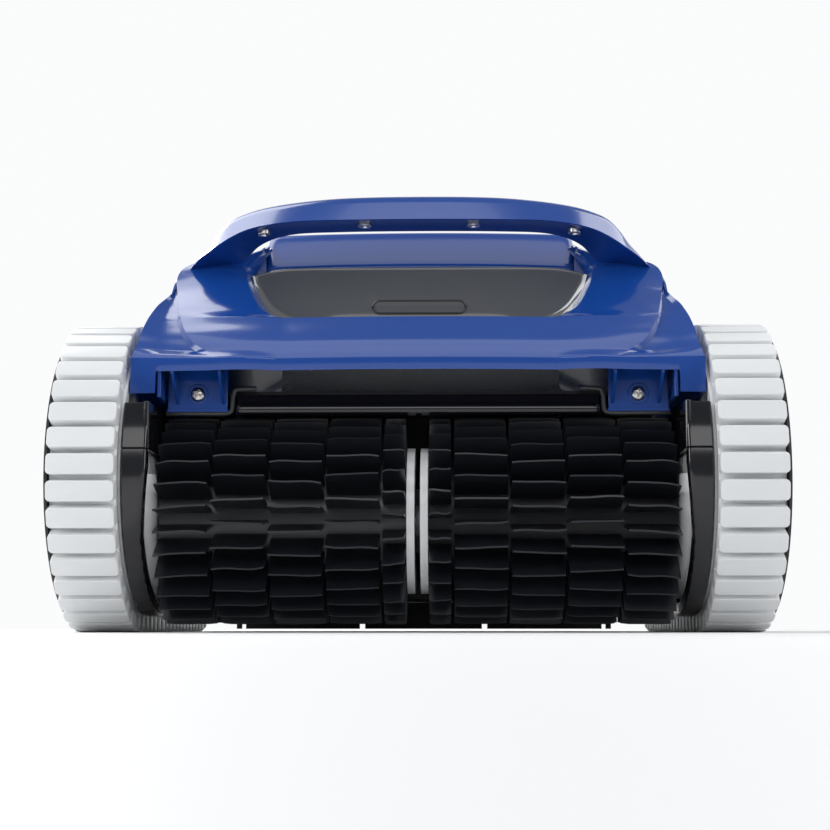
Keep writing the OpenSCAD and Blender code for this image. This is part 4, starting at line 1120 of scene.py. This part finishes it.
def build_lights():
    """White backdrop behind and above, a dimmer room in front, and soft boxes either side."""
    world = bpy.data.worlds.new("studio")
    bpy.context.scene.world = world
    world.use_nodes = True
    nodes, links = world.node_tree.nodes, world.node_tree.links
    coords = nodes.new("ShaderNodeTexCoord")
    axes = nodes.new("ShaderNodeSeparateXYZ")
    links.new(coords.outputs["Generated"], axes.inputs["Vector"])
    behind = add_node(nodes, "MapRange", From_Min=-0.5, From_Max=0.3)
    behind.interpolation_type = "SMOOTHSTEP"
    links.new(axes.outputs["Y"], behind.inputs["Value"])
    below = add_node(nodes, "MapRange", From_Min=0.72, From_Max=0.45)
    below.interpolation_type = "SMOOTHSTEP"
    links.new(axes.outputs["Z"], below.inputs["Value"])
    both = nodes.new("ShaderNodeMath")
    both.operation = "MULTIPLY"
    links.new(behind.outputs["Result"], both.inputs[0])
    links.new(below.outputs["Result"], both.inputs[1])
    mix = nodes.new("ShaderNodeMix")
    mix.data_type = "RGBA"
    mix.inputs["A"].default_value = (0.24, 0.25, 0.27, 1)
    mix.inputs["B"].default_value = (0.965, 0.97, 0.975, 1)
    links.new(both.outputs["Value"], mix.inputs["Factor"])
    links.new(mix.outputs["Result"], nodes["Background"].inputs["Color"])
    nodes["Background"].inputs["Strength"].default_value = 1.0
    for light in (
            ("top_box", (0, -0.4, 1.8), (0, 0, 0.1), (1.8, 1.3), 8),
            ("front_box", (0, -2.6, 1.3), (0, 0, 0.1), (2.4, 1.0), 15),
            ("left_rear_box", (-1.0, 0.8, 1.8), (0, -0.1, 0.15), (1.0, 1.2), 13),
            ("right_rear_box", (1.05, 0.75, 1.8), (0, -0.1, 0.15), (0.7, 1.0), 6),
            ("left_back_box", (-1.05, 1.4, 1.05), (-0.15, -0.15, 0.2), (0.5, 0.9), 16),
            ("left_box", (-1.5, -0.7, 0.75), (0, 0, 0.15), (0.6, 1.0), 10),
            ("right_box", (1.6, -0.9, 0.6), (0, 0, 0.15), (0.6, 1.1), 7),
    ):
        area_light(*light)
    bpy.context.scene.view_settings.view_transform = "Standard"


# The camera stands in front of the brush, just over the floor, and looks slightly up
CAMERA_PLACE = (0.018, -1.158, 0.003)
CAMERA_YAW = 1.14
CAMERA_PITCH = 7.51
CAMERA_LENS = 69.9


def build_camera():
    data = bpy.data.cameras.new("camera")
    data.sensor_width = 36
    data.lens = CAMERA_LENS
    data.clip_start = 0.02
    obj = add_object("camera", data)
    obj.location = CAMERA_PLACE
    turn = Matrix.Rotation(math.radians(CAMERA_YAW), 4, "Z") @ Matrix.Rotation(
        math.radians(90 + CAMERA_PITCH), 4, "X")
    obj.rotation_euler = turn.to_euler()
    bpy.context.scene.camera = obj


build_camera()
build_stage()
build_lights()
dress_cad_nodes()
build_cover()
build_grille()
build_handle()
build_handle_screws()
build_lid()
build_window()
build_slot()
build_tabs()
build_tab_screws()
build_beam()
build_chassis_rim()
for hand in (-1, 1):
    build_track(hand)
    build_cap(hand, "front")
    build_cap(hand, "rear")
    build_side_ring(hand)
    build_hub_rim(hand)
    build_fins(hand)
